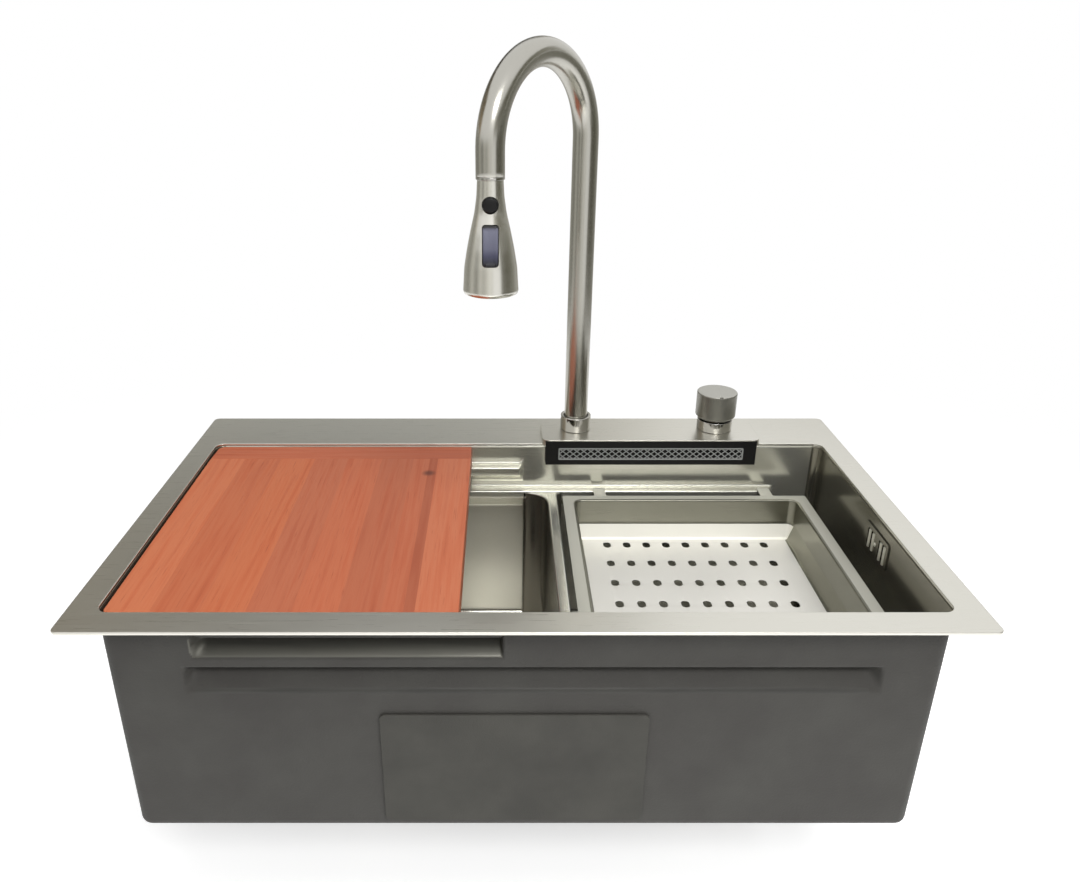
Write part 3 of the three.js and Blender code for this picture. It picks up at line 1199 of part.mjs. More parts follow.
function knobPieces() {
  const valveRadius = VALVE_DIAMETER / 2
  const collarTop = PLATE_TOP + KNOB_COLLAR_HEIGHT
  const collarBore = valveRadius + SEAT_GAP
  const valveTop = collarTop - VALVE_TOP_DROP
  const valve = ringSolid(valveRadius, 0, valveTop - VALVE_LENGTH, valveTop)
  const collarRadius = KNOB_COLLAR_DIAMETER / 2
  const collar = ringSolid(collarRadius, collarBore, PLATE_TOP + SEAT_GAP, collarTop, FINE_SIDES)
  const knobBottom = collarTop + KNOB_CLEARANCE
  const knobTop = knobBottom + KNOB_HEIGHT
  const stemRadius = KNOB_STEM_DIAMETER / 2
  const stemTop = knobBottom + KNOB_SOCKET_DEPTH
  const stem = ringSolid(stemRadius, 0, valveTop + SEAT_GAP, stemTop, SMALL_SIDES)
  const knobRadius = KNOB_DIAMETER / 2
  const bossRadius = stemRadius + SEAT_GAP + KNOB_WALL
  const rimRadius = knobRadius - KNOB_CHAMFER - KNOB_WALL
  const knobForm = turned([
    [stemRadius + SEAT_GAP, knobBottom],
    [bossRadius, knobBottom],
    [bossRadius, knobTop - KNOB_WALL],
    [rimRadius, knobTop - KNOB_WALL],
    [rimRadius, knobBottom],
    [knobRadius - KNOB_CHAMFER, knobBottom],
    [knobRadius, knobBottom + KNOB_CHAMFER],
    [knobRadius, knobTop - KNOB_EDGE],
    [knobRadius - KNOB_EDGE, knobTop],
    [0, knobTop],
    [0, stemTop + SEAT_GAP],
    [stemRadius + SEAT_GAP, stemTop + SEAT_GAP],
    [stemRadius + SEAT_GAP, knobBottom],
  ], FINE_SIDES)
  // The pointer: a wedge let into the front of the top edge
  const mark = prism([
    new THREE.Vector2(-KNOB_MARK_WIDTH / 2, -knobRadius - OVERRUN),
    new THREE.Vector2(KNOB_MARK_WIDTH / 2, -knobRadius - OVERRUN),
    new THREE.Vector2(0, KNOB_MARK_LENGTH - knobRadius),
  ], knobTop - KNOB_MARK_DEPTH, knobTop + OVERRUN)
  const bodyTop = valveTop - VALVE_LENGTH - SEAT_GAP
  const bodyBottom = bodyTop - MIXER_BODY_LENGTH
  const inlet = side => ringSolid(INLET_DIAMETER / 2, INLET_BORE / 2,
    bodyBottom - SEAT_GAP - INLET_LENGTH, bodyBottom - SEAT_GAP, SMALL_SIDES)
    .translate(side * INLET_SPACING / 2, 0, 0)
  return groupAt(KNOB_X, TAP_Y, 0,
    piece('knob', cut(knobForm, mark), 'knobGrey'),
    piece('knob_collar', collar, 'polishedSteel'),
    piece('valve_stem', stem, 'brass'),
    piece('valve_cartridge', valve, 'brass'),
    ...deckFixings('valve', valveRadius, SEAL_THICKNESS - SEAT_GAP - DECK_WASHER_THICKNESS),
    piece('mixer_body', ringSolid(MIXER_BODY_DIAMETER / 2, 0, bodyBottom, bodyTop), 'brass'),
    piece('cold_inlet', inlet(1), 'brass'),
    piece('hot_inlet', inlet(-1), 'brass'),
  )
}

// ---- The whole sink -------------------------------------------------------------------------------

const sink = new THREE.Group()
sink.add(
  rimDeck(),
  rimSeal(),
  ...tubPieces(),
  divider(),
  ...pads(),
  overflowCover(),
  overflowHousing(),
  overflowPipe(),
  groupAt(LEFT_DRAIN_X, DRAIN_Y, 0, ...drainPieces('left', false)),
  groupAt(RIGHT_DRAIN_X, DRAIN_Y, 0, ...drainPieces('right', true)),
  ...choppingBoard(),
  drainTray(),
  tapPlate(),
  ...waterfallPieces(),
  riserPieces(),
  neckPieces(),
  hosePieces(),
  sprayPieces(),
  knobPieces(),
)

export default sink
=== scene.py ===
"""The looks of a workstation kitchen sink: a stainless tub with ledges, board, tray, tap plate and tap.

Shapes are worked out in millimetres and put into meshes in metres. Each operator makes one piece or one
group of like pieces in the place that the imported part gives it.
"""

import json
import math
from collections import namedtuple

import bmesh
import bpy
import numpy as np
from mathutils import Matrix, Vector
from mathutils.geometry import delaunay_2d_cdt

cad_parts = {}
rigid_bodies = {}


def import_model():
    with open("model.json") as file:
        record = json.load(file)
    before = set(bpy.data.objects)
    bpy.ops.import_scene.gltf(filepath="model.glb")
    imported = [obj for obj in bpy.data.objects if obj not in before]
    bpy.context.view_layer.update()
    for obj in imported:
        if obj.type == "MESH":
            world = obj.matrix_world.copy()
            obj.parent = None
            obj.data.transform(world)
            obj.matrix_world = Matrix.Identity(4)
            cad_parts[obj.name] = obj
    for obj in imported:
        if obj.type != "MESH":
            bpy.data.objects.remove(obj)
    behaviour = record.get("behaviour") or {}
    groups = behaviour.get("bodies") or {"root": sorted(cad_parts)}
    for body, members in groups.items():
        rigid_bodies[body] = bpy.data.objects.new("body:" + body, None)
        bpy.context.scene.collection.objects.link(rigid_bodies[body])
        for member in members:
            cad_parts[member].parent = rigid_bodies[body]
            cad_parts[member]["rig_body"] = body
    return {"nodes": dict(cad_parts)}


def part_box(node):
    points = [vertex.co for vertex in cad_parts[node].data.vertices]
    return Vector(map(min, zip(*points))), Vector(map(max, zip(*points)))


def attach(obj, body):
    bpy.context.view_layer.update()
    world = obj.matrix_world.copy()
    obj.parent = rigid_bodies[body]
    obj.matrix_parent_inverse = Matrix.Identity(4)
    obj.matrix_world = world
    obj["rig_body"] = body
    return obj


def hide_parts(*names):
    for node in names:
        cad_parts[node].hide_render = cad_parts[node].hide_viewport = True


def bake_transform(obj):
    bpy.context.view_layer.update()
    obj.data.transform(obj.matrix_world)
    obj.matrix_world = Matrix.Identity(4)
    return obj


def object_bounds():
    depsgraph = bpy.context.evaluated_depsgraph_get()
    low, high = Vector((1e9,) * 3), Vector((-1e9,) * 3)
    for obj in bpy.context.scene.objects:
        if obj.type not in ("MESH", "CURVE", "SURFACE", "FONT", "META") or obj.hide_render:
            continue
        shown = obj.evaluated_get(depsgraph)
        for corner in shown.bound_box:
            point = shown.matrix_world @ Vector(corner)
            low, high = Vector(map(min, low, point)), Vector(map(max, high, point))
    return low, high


bl_info = {
    "name": "Workstation Kitchen Sink",
    "version": (1, 0, 0),
    "blender": (4, 5, 0),
    "location": "View3D > Sidebar > Kitchen Sink",
    "description": "Builds a workstation sink with its board, drain tray, tap and mixer knob",
    "category": "Object",
}

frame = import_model()
CAD_BOX = [list(corner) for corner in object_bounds()]

MM = 0.001
Patch = namedtuple("Patch", "points faces uv finish")

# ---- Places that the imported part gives, in millimetres ----------------------------------------------


def box_mm(node):
    """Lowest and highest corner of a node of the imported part, in millimetres."""
    low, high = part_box(node)
    return np.array(low) / MM, np.array(high) / MM


def middle_mm(node):
    """X and Y of the middle of a node, in millimetres."""
    low, high = box_mm(node)
    return ((low + high) / 2)[:2]


RIM_LOW, RIM_HIGH = box_mm("rim_deck")
RIM_CORNER = 6
TAP_HOLE = 17.5
TUB_TOP = box_mm("tub_wrap")[1][2]
TUB_WALL = 1.5
TUB_CORNER = 10
TUB_LEFT = box_mm("tub_end_left")[0][0] + TUB_WALL
TUB_RIGHT = box_mm("tub_end_right")[1][0] - TUB_WALL
TUB_FRONT = box_mm("tub_wrap")[0][1] + TUB_WALL
TUB_REAR = box_mm("tub_wrap")[1][1] - TUB_WALL
FLOOR = -238.5
FLOOR_BEND = 9
DRAINS = [middle_mm("left_drain_nut"), middle_mm("right_drain_nut")]
DRAIN_SEAT = 61
RISER, KNOB, HEAD = middle_mm("riser_collar"), middle_mm("knob_collar"), middle_mm("spray_face")
HEAD_BOTTOM, HEAD_TOP = box_mm("spray_head")[0][2], box_mm("spray_head")[1][2]

# How far a ledge stands into the tub, the heights of its top, its nose and its foot, and its ends in X
LEDGE_REACH = 15
UPPER_TOP, UPPER_NOSE, UPPER_FOOT = -20.3, -29.3, -42.3
LOWER_TOP, LOWER_NOSE, LOWER_FOOT = -51.5, -60.5, -77.5
UPPER_LEFT, UPPER_RIGHT_FRONT, UPPER_RIGHT_REAR = -290, -18, 5
LOWER_LEFT, LOWER_RIGHT = -300, 313
LEDGE_TAPER = 14

# The middle of the overflow in the right wall, and the height of its pipe's level run
OVERFLOW_Y, OVERFLOW_Z, OVERFLOW_LEVEL = -37, -26, -275.5


# ---- Nodes ------------------------------------------------------------------------------------------


def linear(hex_colour):
    """An sRGB hex colour as linear red, green, blue and 1: c/12.92 below 0.04045, else ((c+.055)/1.055)^2.4."""
    parts = [int(hex_colour[i:i + 2], 16) / 255 for i in (1, 3, 5)]
    return [c / 12.92 if c <= 0.04045 else ((c + 0.055) / 1.055) ** 2.4 for c in parts] + [1.0]


def feed(tree, node, inputs):
    """Gives each named input of a node its value, or a link from another node's output."""
    for name, value in inputs.items():
        if isinstance(value, bpy.types.NodeSocket):
            tree.links.new(value, node.inputs[name])
        else:
            node.inputs[name].default_value = value


def add_node(tree, kind, inputs=None, stops=(), **settings):
    """Adds a shader node of a kind with its settings and links, and returns its outputs.

    stops are the (place, hex colour) pairs of a node with a colour ramp.
    """
    node = tree.nodes.new("ShaderNode" + kind)
    for setting, value in settings.items():
        setattr(node, setting, value)
    while stops and len(node.color_ramp.elements) < len(stops):
        node.color_ramp.elements.new(0.5)
    for (place, colour), element in zip(stops, node.color_ramp.elements if stops else ()):
        element.position = place
        element.color = linear(colour)
    feed(tree, node, inputs or {})
    return node.outputs


def drawn_noise(tree, scale, size=(1, 1, 1), source="Object", detail=3.0):
    """Noise on the piece's own place, drawn out by size: a large number packs it close along that axis."""
    place = add_node(tree, "TexCoord")[source]
    drawn = add_node(tree, "Mapping", {"Vector": place, "Scale": size})["Vector"]
    inputs = {"Vector": drawn, "Scale": scale, "Detail": detail, "Roughness": 0.55}
    return add_node(tree, "TexNoise", inputs)["Fac"]


def new_material(name, colour, metallic=0.0, roughness=0.5, **sockets):
    """A material and its shader with the given colour, metallic, roughness and further sockets."""
    material = bpy.data.materials.new(name)
    material.use_nodes = True
    shader = material.node_tree.nodes["Principled BSDF"]
    further = {socket.replace("_", " "): value for socket, value in sockets.items()}
    feed(material.node_tree, shader, {
        "Base Color": colour, "Metallic": metallic, "Roughness": roughness, **further})
    return material, material.node_tree, shader


def tint(tree, shader, look):
    """Drives the shader's colour by a look, multiplied by the tint that the shader's colour socket holds."""
    inputs = {"Fac": 1.0, "Color1": look, "Color2": list(shader.inputs["Base Color"].default_value)}
    feed(tree, shader, {"Base Color": add_node(tree, "MixRGB", inputs, blend_type="MULTIPLY")["Color"]})


def pattern_surface(tree, shader, pattern, shine=None, tones=(), relief=0.0, grit=None, strength=1.0):
    """Lets a pattern drive the shader's roughness, colour and relief.

    The middle of the pattern's range, 0.3 to 0.7, goes to the roughnesses of shine. tones are the stops of
    the colour. relief is the height in metres of the pattern, or of an even noise of scale grit.
    """
    if shine:
        feed(tree, shader, {"Roughness": add_node(tree, "MapRange", {
            "Value": pattern, "From Min": 0.3, "From Max": 0.7, "To Min": shine[0], "To Max": shine[1]})["Result"]})
    if tones:
        tint(tree, shader, add_node(tree, "ValToRGB", {"Fac": pattern}, tones)["Color"])
    if relief:
        height = drawn_noise(tree, grit) if grit else pattern
        feed(tree, shader, {"Normal": add_node(tree, "Bump", {
            "Height": height, "Distance": relief, "Strength": strength})["Normal"]})


# ---- Materials --------------------------------------------------------------------------------------

# The noise of each plain surface is given as its scale and, where it is drawn out, its size and its map
SURFACES = {
    # 304 stainless sheet, belt-brushed along its length: soft streaks that smear reflections crosswise.
    # Real grit lines are 0.05 mm apart, so these are drawn about ten times coarser to show.
    "brushed_sheet_steel": dict(
        metallic=1.0, roughness=0.27, noise=(60, (0.25, 22, 22)), shine=(0.27, 0.33), relief=0.000004),
    # 304 stainless deep-drawn and satin-brushed round the walls: fine level lines on the tub's own map
    "satin_tub_steel": dict(
        metallic=0.85, roughness=0.2, noise=(60, (0.3, 20, 1), "UV"), shine=(0.16, 0.24), relief=0.000003),
    # Pale, almost matt steel with a soft cloudy sheen, given to the faces that look up so that they read lighter:
    # painted light
    "blasted_floor_steel": dict(
        metallic=0.4, roughness=0.45, noise=(12,), shine=(0.38, 0.52), relief=0.00004, grit=900),
    # Bare steel on the outside of the front's upper groove, so that its slope shows the bright stripe that light
    # gives it: a grey band with blurred streaks, a painted highlight
    "rubbed_groove_steel": dict(
        metallic=0.8, roughness=0.4, noise=(40, (0.2, 6, 6)), shine=(0.34, 0.5), relief=0.00005),
    # Stainless tube, satin-brushed round its axis: tall soft highlights with faint rings
    "satin_tap_steel": dict(metallic=1.0, roughness=0.24, noise=(60, (1, 1, 6)), shine=(0.22, 0.26)),
    # Stainless turned on a lathe and buffed: near-mirror bands with faint turning rings
    "polished_steel": dict(metallic=1.0, roughness=0.09, noise=(60, (1, 1, 40)), shine=(0.06, 0.14)),
    # Rubberised spray coat on the tub's outside: matt, dark, with an orange-peel grain of about 2 mm
    "sprayed_sound_coat": dict(
        roughness=0.6, Specular_IOR_Level=0.35, noise=(14,), tones=[(0.3, "#413f3c"), (0.7, "#4a4945")],
        relief=0.0004, grit=420),
    # A glossier copy of the same coat, with tones of its own, along the lower groove's lip: it stands in for the
    # light line that the lip catches, a painted highlight
    "rubbed_sound_coat": dict(
        roughness=0.45, Specular_IOR_Level=0.45, noise=(30, (0.3, 3, 3)),
        tones=[(0.3, "#353431"), (0.7, "#41403c")], relief=0.0002, grit=420),
    # Pressed bitumen-rubber sheet: matt and dark, with a fine woven imprint about 3 mm apart
    "bitumen_pad": dict(
        roughness=0.7, Specular_IOR_Level=0.3, noise=(18,), tones=[(0.3, "#464541"), (0.7, "#504f4a")],
        relief=0.0003, grit=700),
    # Moulded nitrile rubber: matt black-grey with a faint bloom
    "moulded_rubber": dict(
        roughness=0.62, Specular_IOR_Level=0.4, noise=(60,), shine=(0.52, 0.7), relief=0.0001, grit=900),
    # Moulded ABS, spark-eroded satin: black with a fine even grain of about 0.5 mm
    "satin_black_plastic": dict(
        roughness=0.4, Specular_IOR_Level=0.3, noise=(1800,), shine=(0.34, 0.5), relief=0.00006),
    # Moulded polypropylene: mid grey, a little waxy, with faint flow marks
    "moulded_grey_plastic": dict(
        roughness=0.45, noise=(25, (1, 1, 3)), shine=(0.38, 0.52), relief=0.00005, grit=1400),
    # Moulded white polypropylene fittings: bright, slightly translucent and waxy
    "moulded_white_plastic": dict(
        roughness=0.38, Subsurface_Weight=0.08, noise=(30, (1, 1, 3)), shine=(0.32, 0.46), relief=0.00005,
        grit=1400),
    # Aluminium knob, turned, bead-blasted and anodised gunmetal: a satin dark grey with a fine sparkle
    "gunmetal_anodised": dict(metallic=0.8, roughness=0.34, noise=(2000,), shine=(0.28, 0.4), relief=0.00004),
    # Turned free-cutting brass: warm yellow with turning rings about 0.3 mm apart
    "turned_brass": dict(metallic=1.0, roughness=0.25, noise=(60, (1, 1, 50)), shine=(0.18, 0.36), relief=0.00003),
}


def plain_surface(name, colour):
    """A material of the SURFACES list: one noise drives its roughness, its colour or its relief."""
    settings = dict(SURFACES[name])
    noise = settings.pop("noise")
    driven = {key: settings.pop(key) for key in ("shine", "tones", "relief", "grit") if key in settings}
    material, tree, shader = new_material(name, colour, **settings)
    pattern_surface(tree, shader, drawn_noise(tree, *noise), **driven)
    return material


def closed_cell_foam(name, colour):
    """Closed-cell foam seal: dull dark grey with pores of about 1 mm."""
    material, tree, shader = new_material(name, colour, roughness=0.95, Specular_IOR_Level=0.2)
    place = add_node(tree, "TexCoord")["Object"]
    pores = add_node(tree, "TexVoronoi", {"Vector": place, "Scale": 900})["Distance"]
    pattern_surface(tree, shader, pores, tones=[(0.1, "#151514"), (0.5, "#2b2b29")], relief=0.0003)
    return material


def rocker_plastic(name, colour):
    """Soft-touch ABS of the spray rocker: slate blue-grey, with light and shade painted up its height: paler
    towards its top as painted light, near black at its ends as painted shade.
    """
    material, tree, shader = new_material(name, colour, roughness=0.42)
    place = add_node(tree, "TexCoord")["Object"]
    height = add_node(tree, "SeparateXYZ", {"Vector": place})["Z"]
    low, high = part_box("mode_rocker")
    share = add_node(tree, "MapRange", {"Value": height, "From Min": low[2], "From Max": high[2]})["Result"]
    # The ramp up the pad paints its light and shade: near black ends, a paler top
    pattern_surface(tree, shader, share, relief=0.00005, grit=1500, tones=[
        (0.0, "#08080c"), (0.09, "#14141d"), (0.28, "#34354a"), (0.44, "#555667"), (0.86, "#676878"),
        (0.93, "#5a5b69"), (0.96, "#0f0f13")])
    return material


def braided_hose(name, colour):
    """Stainless wire braid over a rubber hose: crossed strands about 2 mm wide that catch the light.

    Weave = the greater of sin(10 turn + 1500 z) and sin(10 turn - 1500 z) round the hose's axis.
    """
    material, tree, shader = new_material(name, colour, metallic=0.9, roughness=0.35)
    place = add_node(tree, "TexCoord")["Object"]
    centre = add_node(tree, "Mapping", {
        "Vector": place, "Location": (-HEAD[0] * MM, -HEAD[1] * MM, 0)})["Vector"]
    axes = add_node(tree, "SeparateXYZ", {"Vector": centre})
    turn = add_node(tree, "Math", {0: axes["Y"], 1: axes["X"]}, operation="ARCTAN2")[0]
    strands = []
    for lean in (1500.0, -1500.0):
        rise = add_node(tree, "Math", {0: axes["Z"], 1: lean}, operation="MULTIPLY")[0]
        phase = add_node(tree, "Math", {0: turn, 1: 10.0, 2: rise}, operation="MULTIPLY_ADD")[0]
        strands.append(add_node(tree, "Math", {0: phase}, operation="SINE")[0])
    weave = add_node(tree, "Math", {0: strands[0], 1: strands[1]}, operation="MAXIMUM")[0]
    pattern_surface(tree, shader, weave, tones=[(0.1, "#3a3a3a"), (0.8, "#c0beb8")], relief=0.0004)
    return material


def oiled_wood(name, colour):
    """Edge-glued hardwood staves, planed and oiled: orange-red, straight grain, fine dark pores.

    The panel's grain runs along Y and the cleat's along X. Growth bands are 4 to 8 mm apart, pores 0.4 mm
    wide and 15 mm long, drawn a little coarser than real. Staves follow X, each with its own tone.
    """
    panel = name == "oiled_wood_panel"
    material, tree, shader = new_material(name, colour, roughness=0.5, Coat_Weight=0.06, Coat_Roughness=0.35)
    bands = drawn_noise(tree, 2.6, (60, 2.2, 60) if panel else (2.2, 60, 60), detail=4.0)
    pores = drawn_noise(tree, 26, (34, 1, 34) if panel else (1, 34, 34), detail=2.0)
    place = add_node(tree, "TexCoord")["Object"]
    across = add_node(tree, "SeparateXYZ", {"Vector": place})["X"]
    low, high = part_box("board_panel")
    share = add_node(tree, "MapRange", {"Value": across, "From Min": low[0], "From Max": high[0]})["Result"]
    staves = [
        (0.0, "#bb6b47"), (0.13, "#b16240"), (0.27, "#b56541"), (0.4, "#ab6042"), (0.53, "#b06141"),
        (0.66, "#a65c3f"), (0.78, "#ab5f41"), (0.842, "#9c5439"), (0.872, "#b46848"),
    ] if panel else [(0.0, "#ad5e3e"), (0.45, "#ac5f42"), (0.8, "#a2573b")]
    base = add_node(tree, "ValToRGB", {"Fac": share}, staves)["Color"]
    base.node.color_ramp.interpolation = "CONSTANT" if panel else "LINEAR"
    figure = add_node(tree, "ValToRGB", {"Fac": bands}, [
        (0.32, "#ecd0c2"), (0.47, "#ffffff"), (0.6, "#f5ded2"), (0.72, "#dcb5a3")])["Color"]
    tone = add_node(tree, "MixRGB", {"Fac": 0.55, "Color1": base, "Color2": figure}, blend_type="MULTIPLY")["Color"]
    dark = add_node(tree, "MapRange", {"Value": pores, "From Min": 0.63, "From Max": 0.78})["Result"]
    look = add_node(tree, "MixRGB", {"Fac": dark, "Color1": tone, "Color2": linear("#94492f")})["Color"]
    if panel:
        knot, heart, edge = (-0.103, 0.074, 0.002), 0.003, 0.009
        away = add_node(tree, "VectorMath", {0: place, 1: knot}, operation="DISTANCE")["Value"]
        ring = add_node(tree, "MapRange", {
            "Value": away, "From Min": heart, "From Max": edge, "To Min": 0.9, "To Max": 0.0})["Result"]
        look = add_node(tree, "MixRGB", {"Fac": ring, "Color1": look, "Color2": linear("#5a2a1c")})["Color"]
    tint(tree, shader, look)
    pattern_surface(tree, shader, bands, shine=(0.42, 0.58))
    pattern_surface(tree, shader, pores, relief=0.0001, strength=0.6)
    return material


# Each finish: its material, then the name, colour and use of its colour property
FINISHES = {
    "brushed_steel": ("brushed_sheet_steel", "Sheet steel", "#e0ded5", "Rim, tap plate and overflow bars"),
    "tub_steel": ("satin_tub_steel", "Tub steel", "#d2d1c6", "Long walls of the tub, divider's top"),
    # End walls and the divider's sides: a darker copy of the tub steel, painted shade
    "end_steel": ("satin_tub_steel", "End cap steel", "#868377", "End walls of the tub, divider's sides"),
    # Floor of the tub: a paler, more matt copy of the tub steel, painted light on the face that looks up
    "floor_steel": ("blasted_floor_steel", "Floor steel", "#f6f3e9", "Floor of the tub"),
    # The tray is one steel sheet: its walls take a darker copy as painted shade, and its rim, rear foot and floor
    # paler copies as painted light
    "tray_steel": ("brushed_sheet_steel", "Tray steel", "#8d8c80", "Walls and underside of the drain tray"),
    "tray_rim": ("blasted_floor_steel", "Tray rim steel", "#b6b5aa", "Flat rim of the drain tray"),
    "tray_foot": ("blasted_floor_steel", "Tray foot steel", "#f6f4ea", "Leaning foot behind the tray's floor"),
    "tray_floor": ("blasted_floor_steel", "Tray floor steel", "#dedcd5", "Floor of the drain tray"),
    "tap_steel": ("satin_tap_steel", "Tap steel", "#bcbab2", "Gooseneck pipe"),
    "head_steel": ("satin_tap_steel", "Spray head steel", "#dddbd3", "Brushed shell of the spray head"),
    "polished_steel": ("polished_steel", "Polished steel", "#c4c2bd", "Collars, drains and strainers"),
    "sound_coat": ("sprayed_sound_coat", "Sound coat", "#4d4c48", "Sprayed coat outside the tub"),
    "rubbed_coat": ("rubbed_sound_coat", "Lip highlight coat", "#5c5b56", "Coat along the groove's lip, a painted highlight"),
    "bare_groove": ("rubbed_groove_steel", "Groove highlight", "#605f59", "Upper groove outside, bare steel as a painted highlight"),
    "sound_pad": ("bitumen_pad", "Sound pads", "#45443f", "Pads stuck to the tub"),
    "foam": ("closed_cell_foam", "Foam seal", "#232322", "Seal under the rim"),
    "rubber": ("moulded_rubber", "Rubber", "#232323", "Gaskets, washers and inner hose"),
    "black_plastic": ("satin_black_plastic", "Black plastic", "#080808", "Waterfall, overflow chamber and button"),
    "grille_grey": ("moulded_grey_plastic", "Grille", "#8c8e8b", "Crossed bars of the waterfall grille"),
    "grey_plastic": ("moulded_grey_plastic", "Grey plastic", "#6f716f", "Overflow pipe, ring nuts and spray face"),
    "white_plastic": ("moulded_white_plastic", "White plastic", "#e2e1dc", "Drain tails and slip nuts"),
    "rocker": ("rocker_plastic", "Rocker", "#6f7083", "Spray rocker"),
    "knob_grey": ("gunmetal_anodised", "Knob", "#8f8e86", "Mixer knob"),
    # Top of the knob: a paler matt copy, painted light on the face that looks up
    "knob_top": ("blasted_floor_steel", "Knob top", "#a9a8a1", "Top of the mixer knob, painted lighter as lit"),
    "brass": ("turned_brass", "Brass", "#bda468", "Mixer body, shank and nuts"),
    "braid": ("braided_hose", "Hose braid", "#b8b6b0", "Pull-out hose"),
    "wood": ("oiled_wood_panel", "Board", "#c47052", "Staves of the chopping board"),
    "cleat_wood": ("oiled_wood_cleat", "Board cleat", "#c47052", "Cleat across the board's rear end"),
}
PATTERNED = {
    "closed_cell_foam": closed_cell_foam, "rocker_plastic": rocker_plastic, "braided_hose": braided_hose,
    "oiled_wood_panel": oiled_wood, "oiled_wood_cleat": oiled_wood,
}
MADE = {}


def finish(name):
    """The material of a finish, made the first time that a piece asks for it.

    Where tones of its own give the colour, the chosen colour over the usual one is their tint.
    """
    if name not in MADE:
        material, _, usual, _ = FINISHES[name]
        colour = list(getattr(bpy.context.scene.sink_colours, name))[:3] + [1.0]
        if material in PATTERNED or "tones" in SURFACES[material]:
            colour = [chosen / own for chosen, own in zip(colour, linear(usual))]
        MADE[name] = PATTERNED.get(material, plain_surface)(material, colour)
    return MADE[name]


# ---- Shapes -----------------------------------------------------------------------------------------


def run_along(line):
    """The way along a polyline at each of its points: the running sum of the lengths of its sides."""
    return np.concatenate([[0], np.cumsum(np.linalg.norm(np.diff(line, axis=0), axis=1))])


def unit(arrows):
    """Arrows divided by their own lengths."""
    return arrows / np.maximum(np.linalg.norm(arrows, axis=-1, keepdims=True), 1e-9)


def grid(points, uv=None, finish=0, keep=None):
    """Quads between the neighbours of a (rows, columns, 3) array; keep says which quads stay."""
    rows, columns = points.shape[:2]
    row, column = np.meshgrid(np.arange(rows - 1), np.arange(columns - 1), indexing="ij")
    corner = row * columns + column
    quads = np.stack([corner, corner + 1, corner + columns + 1, corner + columns], axis=-1)
    quads = quads[keep] if keep is not None else quads.reshape(-1, 4)
    flat_uv = np.zeros((rows * columns, 2)) if uv is None else uv.reshape(-1, 2)
    return Patch(points.reshape(-1, 3), quads, flat_uv, finish)


def inside_round(loop, places):
    """Which places lie inside a convex leftward loop: left of every side, so each cross product is positive."""
    side = np.roll(loop, -1, 0) - loop
    away = places[:, None] - loop[None]
    return (side[None, :, 0] * away[..., 1] - side[None, :, 1] * away[..., 0] > 0).all(axis=1)


def filled(loops, height, finish=0):
    """A level sheet inside the first (n, 2) loop and outside the others, which are convex holes.

    Its triangles are a constrained Delaunay net on the loops' points, less those whose middle is in a hole.
    """
    counts = [len(loop) for loop in loops]
    starts = np.repeat(np.cumsum([0] + counts[:-1]), counts)
    place = np.concatenate([np.arange(count) for count in counts])
    after = starts + (place + 1) % np.repeat(counts, counts)
    edges = np.column_stack([starts + place, after])
    net = delaunay_2d_cdt([Vector(point) for point in np.concatenate(loops)], edges.tolist(), [], 1, 1e-4)
    points, triangles = np.array(net[0]), np.array(net[2])
    middle = points[triangles].mean(axis=1)
    for hole in loops[1:]:
        apart = ~inside_round(np.asarray(hole), middle)
        triangles, middle = triangles[apart], middle[apart]
    level = np.column_stack([points, np.full(len(points), float(height))])
    return Patch(level, triangles, points * MM, finish)


def rounded(corners, radius, steps=4, closed=True):
    """A polyline with each corner P bent from S to E: (1-t)^2 S + 2t(1-t) P + t^2 E.

    S and E lie on the corner's two sides, radius away from it or half a side away at most.
    """
    corners = np.asarray(corners, float)
    before, after = np.roll(corners, 1, 0), np.roll(corners, -1, 0)
    reach = np.broadcast_to(np.asarray(radius, float), len(corners))
    sides = [before - corners, after - corners]
    lengths = [np.maximum(np.linalg.norm(side, axis=1), 1e-9) for side in sides]
    cut = [np.minimum(reach, length * 0.499) / length for length in lengths]
    start, end = (corners + side * share[:, None] for side, share in zip(sides, cut))
    t = np.linspace(0, 1, steps + 1)[None, :, None]
    arcs = (1 - t) ** 2 * start[:, None] + 2 * t * (1 - t) * corners[:, None] + t ** 2 * end[:, None]
    if closed:
        return arcs.reshape(-1, 2)
    return np.concatenate([corners[:1], arcs[1:-1].reshape(-1, 2), corners[-1:]])


def finer(line, step):
    """A polyline with extra points, so that no stretch is longer than step: straight interpolation."""
    line = np.asarray(line, float)
    run = run_along(line)
    counts = np.maximum(1, np.ceil(np.diff(run) / step)).astype(int)
    stretches = [np.linspace(a, b, n, endpoint=False) for a, b, n in zip(run, run[1:], counts)]
    places = np.concatenate(stretches + [run[-1:]])
    return np.stack([np.interp(places, run, line[:, axis]) for axis in range(line.shape[1])], axis=-1)


def quarter(count):
    """A quarter turn in count even steps, from nought to pi / 2."""
    return np.linspace(0, np.pi / 2, count)


def arc(centre, radius, turn):
    """Points of a circle at the angles turn: centre + radius (cos t, sin t)."""
    return np.stack([centre[0] + radius * np.cos(turn), centre[1] + radius * np.sin(turn)], axis=-1)


def round_rectangle(left, right, front, rear, radius, steps=8):
    """A closed loop: quarter circles of a radius round four corners, joined by straight sides."""
    radii = np.broadcast_to(np.asarray(radius, float), 4)
    arcs = []
    for k, (x, y) in enumerate([(right, rear), (left, rear), (left, front), (right, front)]):
        r = max(radii[k], 0.01)
        centre = (x - math.copysign(r, x - (left + right) / 2), y - math.copysign(r, y - (front + rear) / 2))
        arcs.append(arc(centre, r, quarter(steps + 1) + k * np.pi / 2))
    return np.concatenate(arcs)


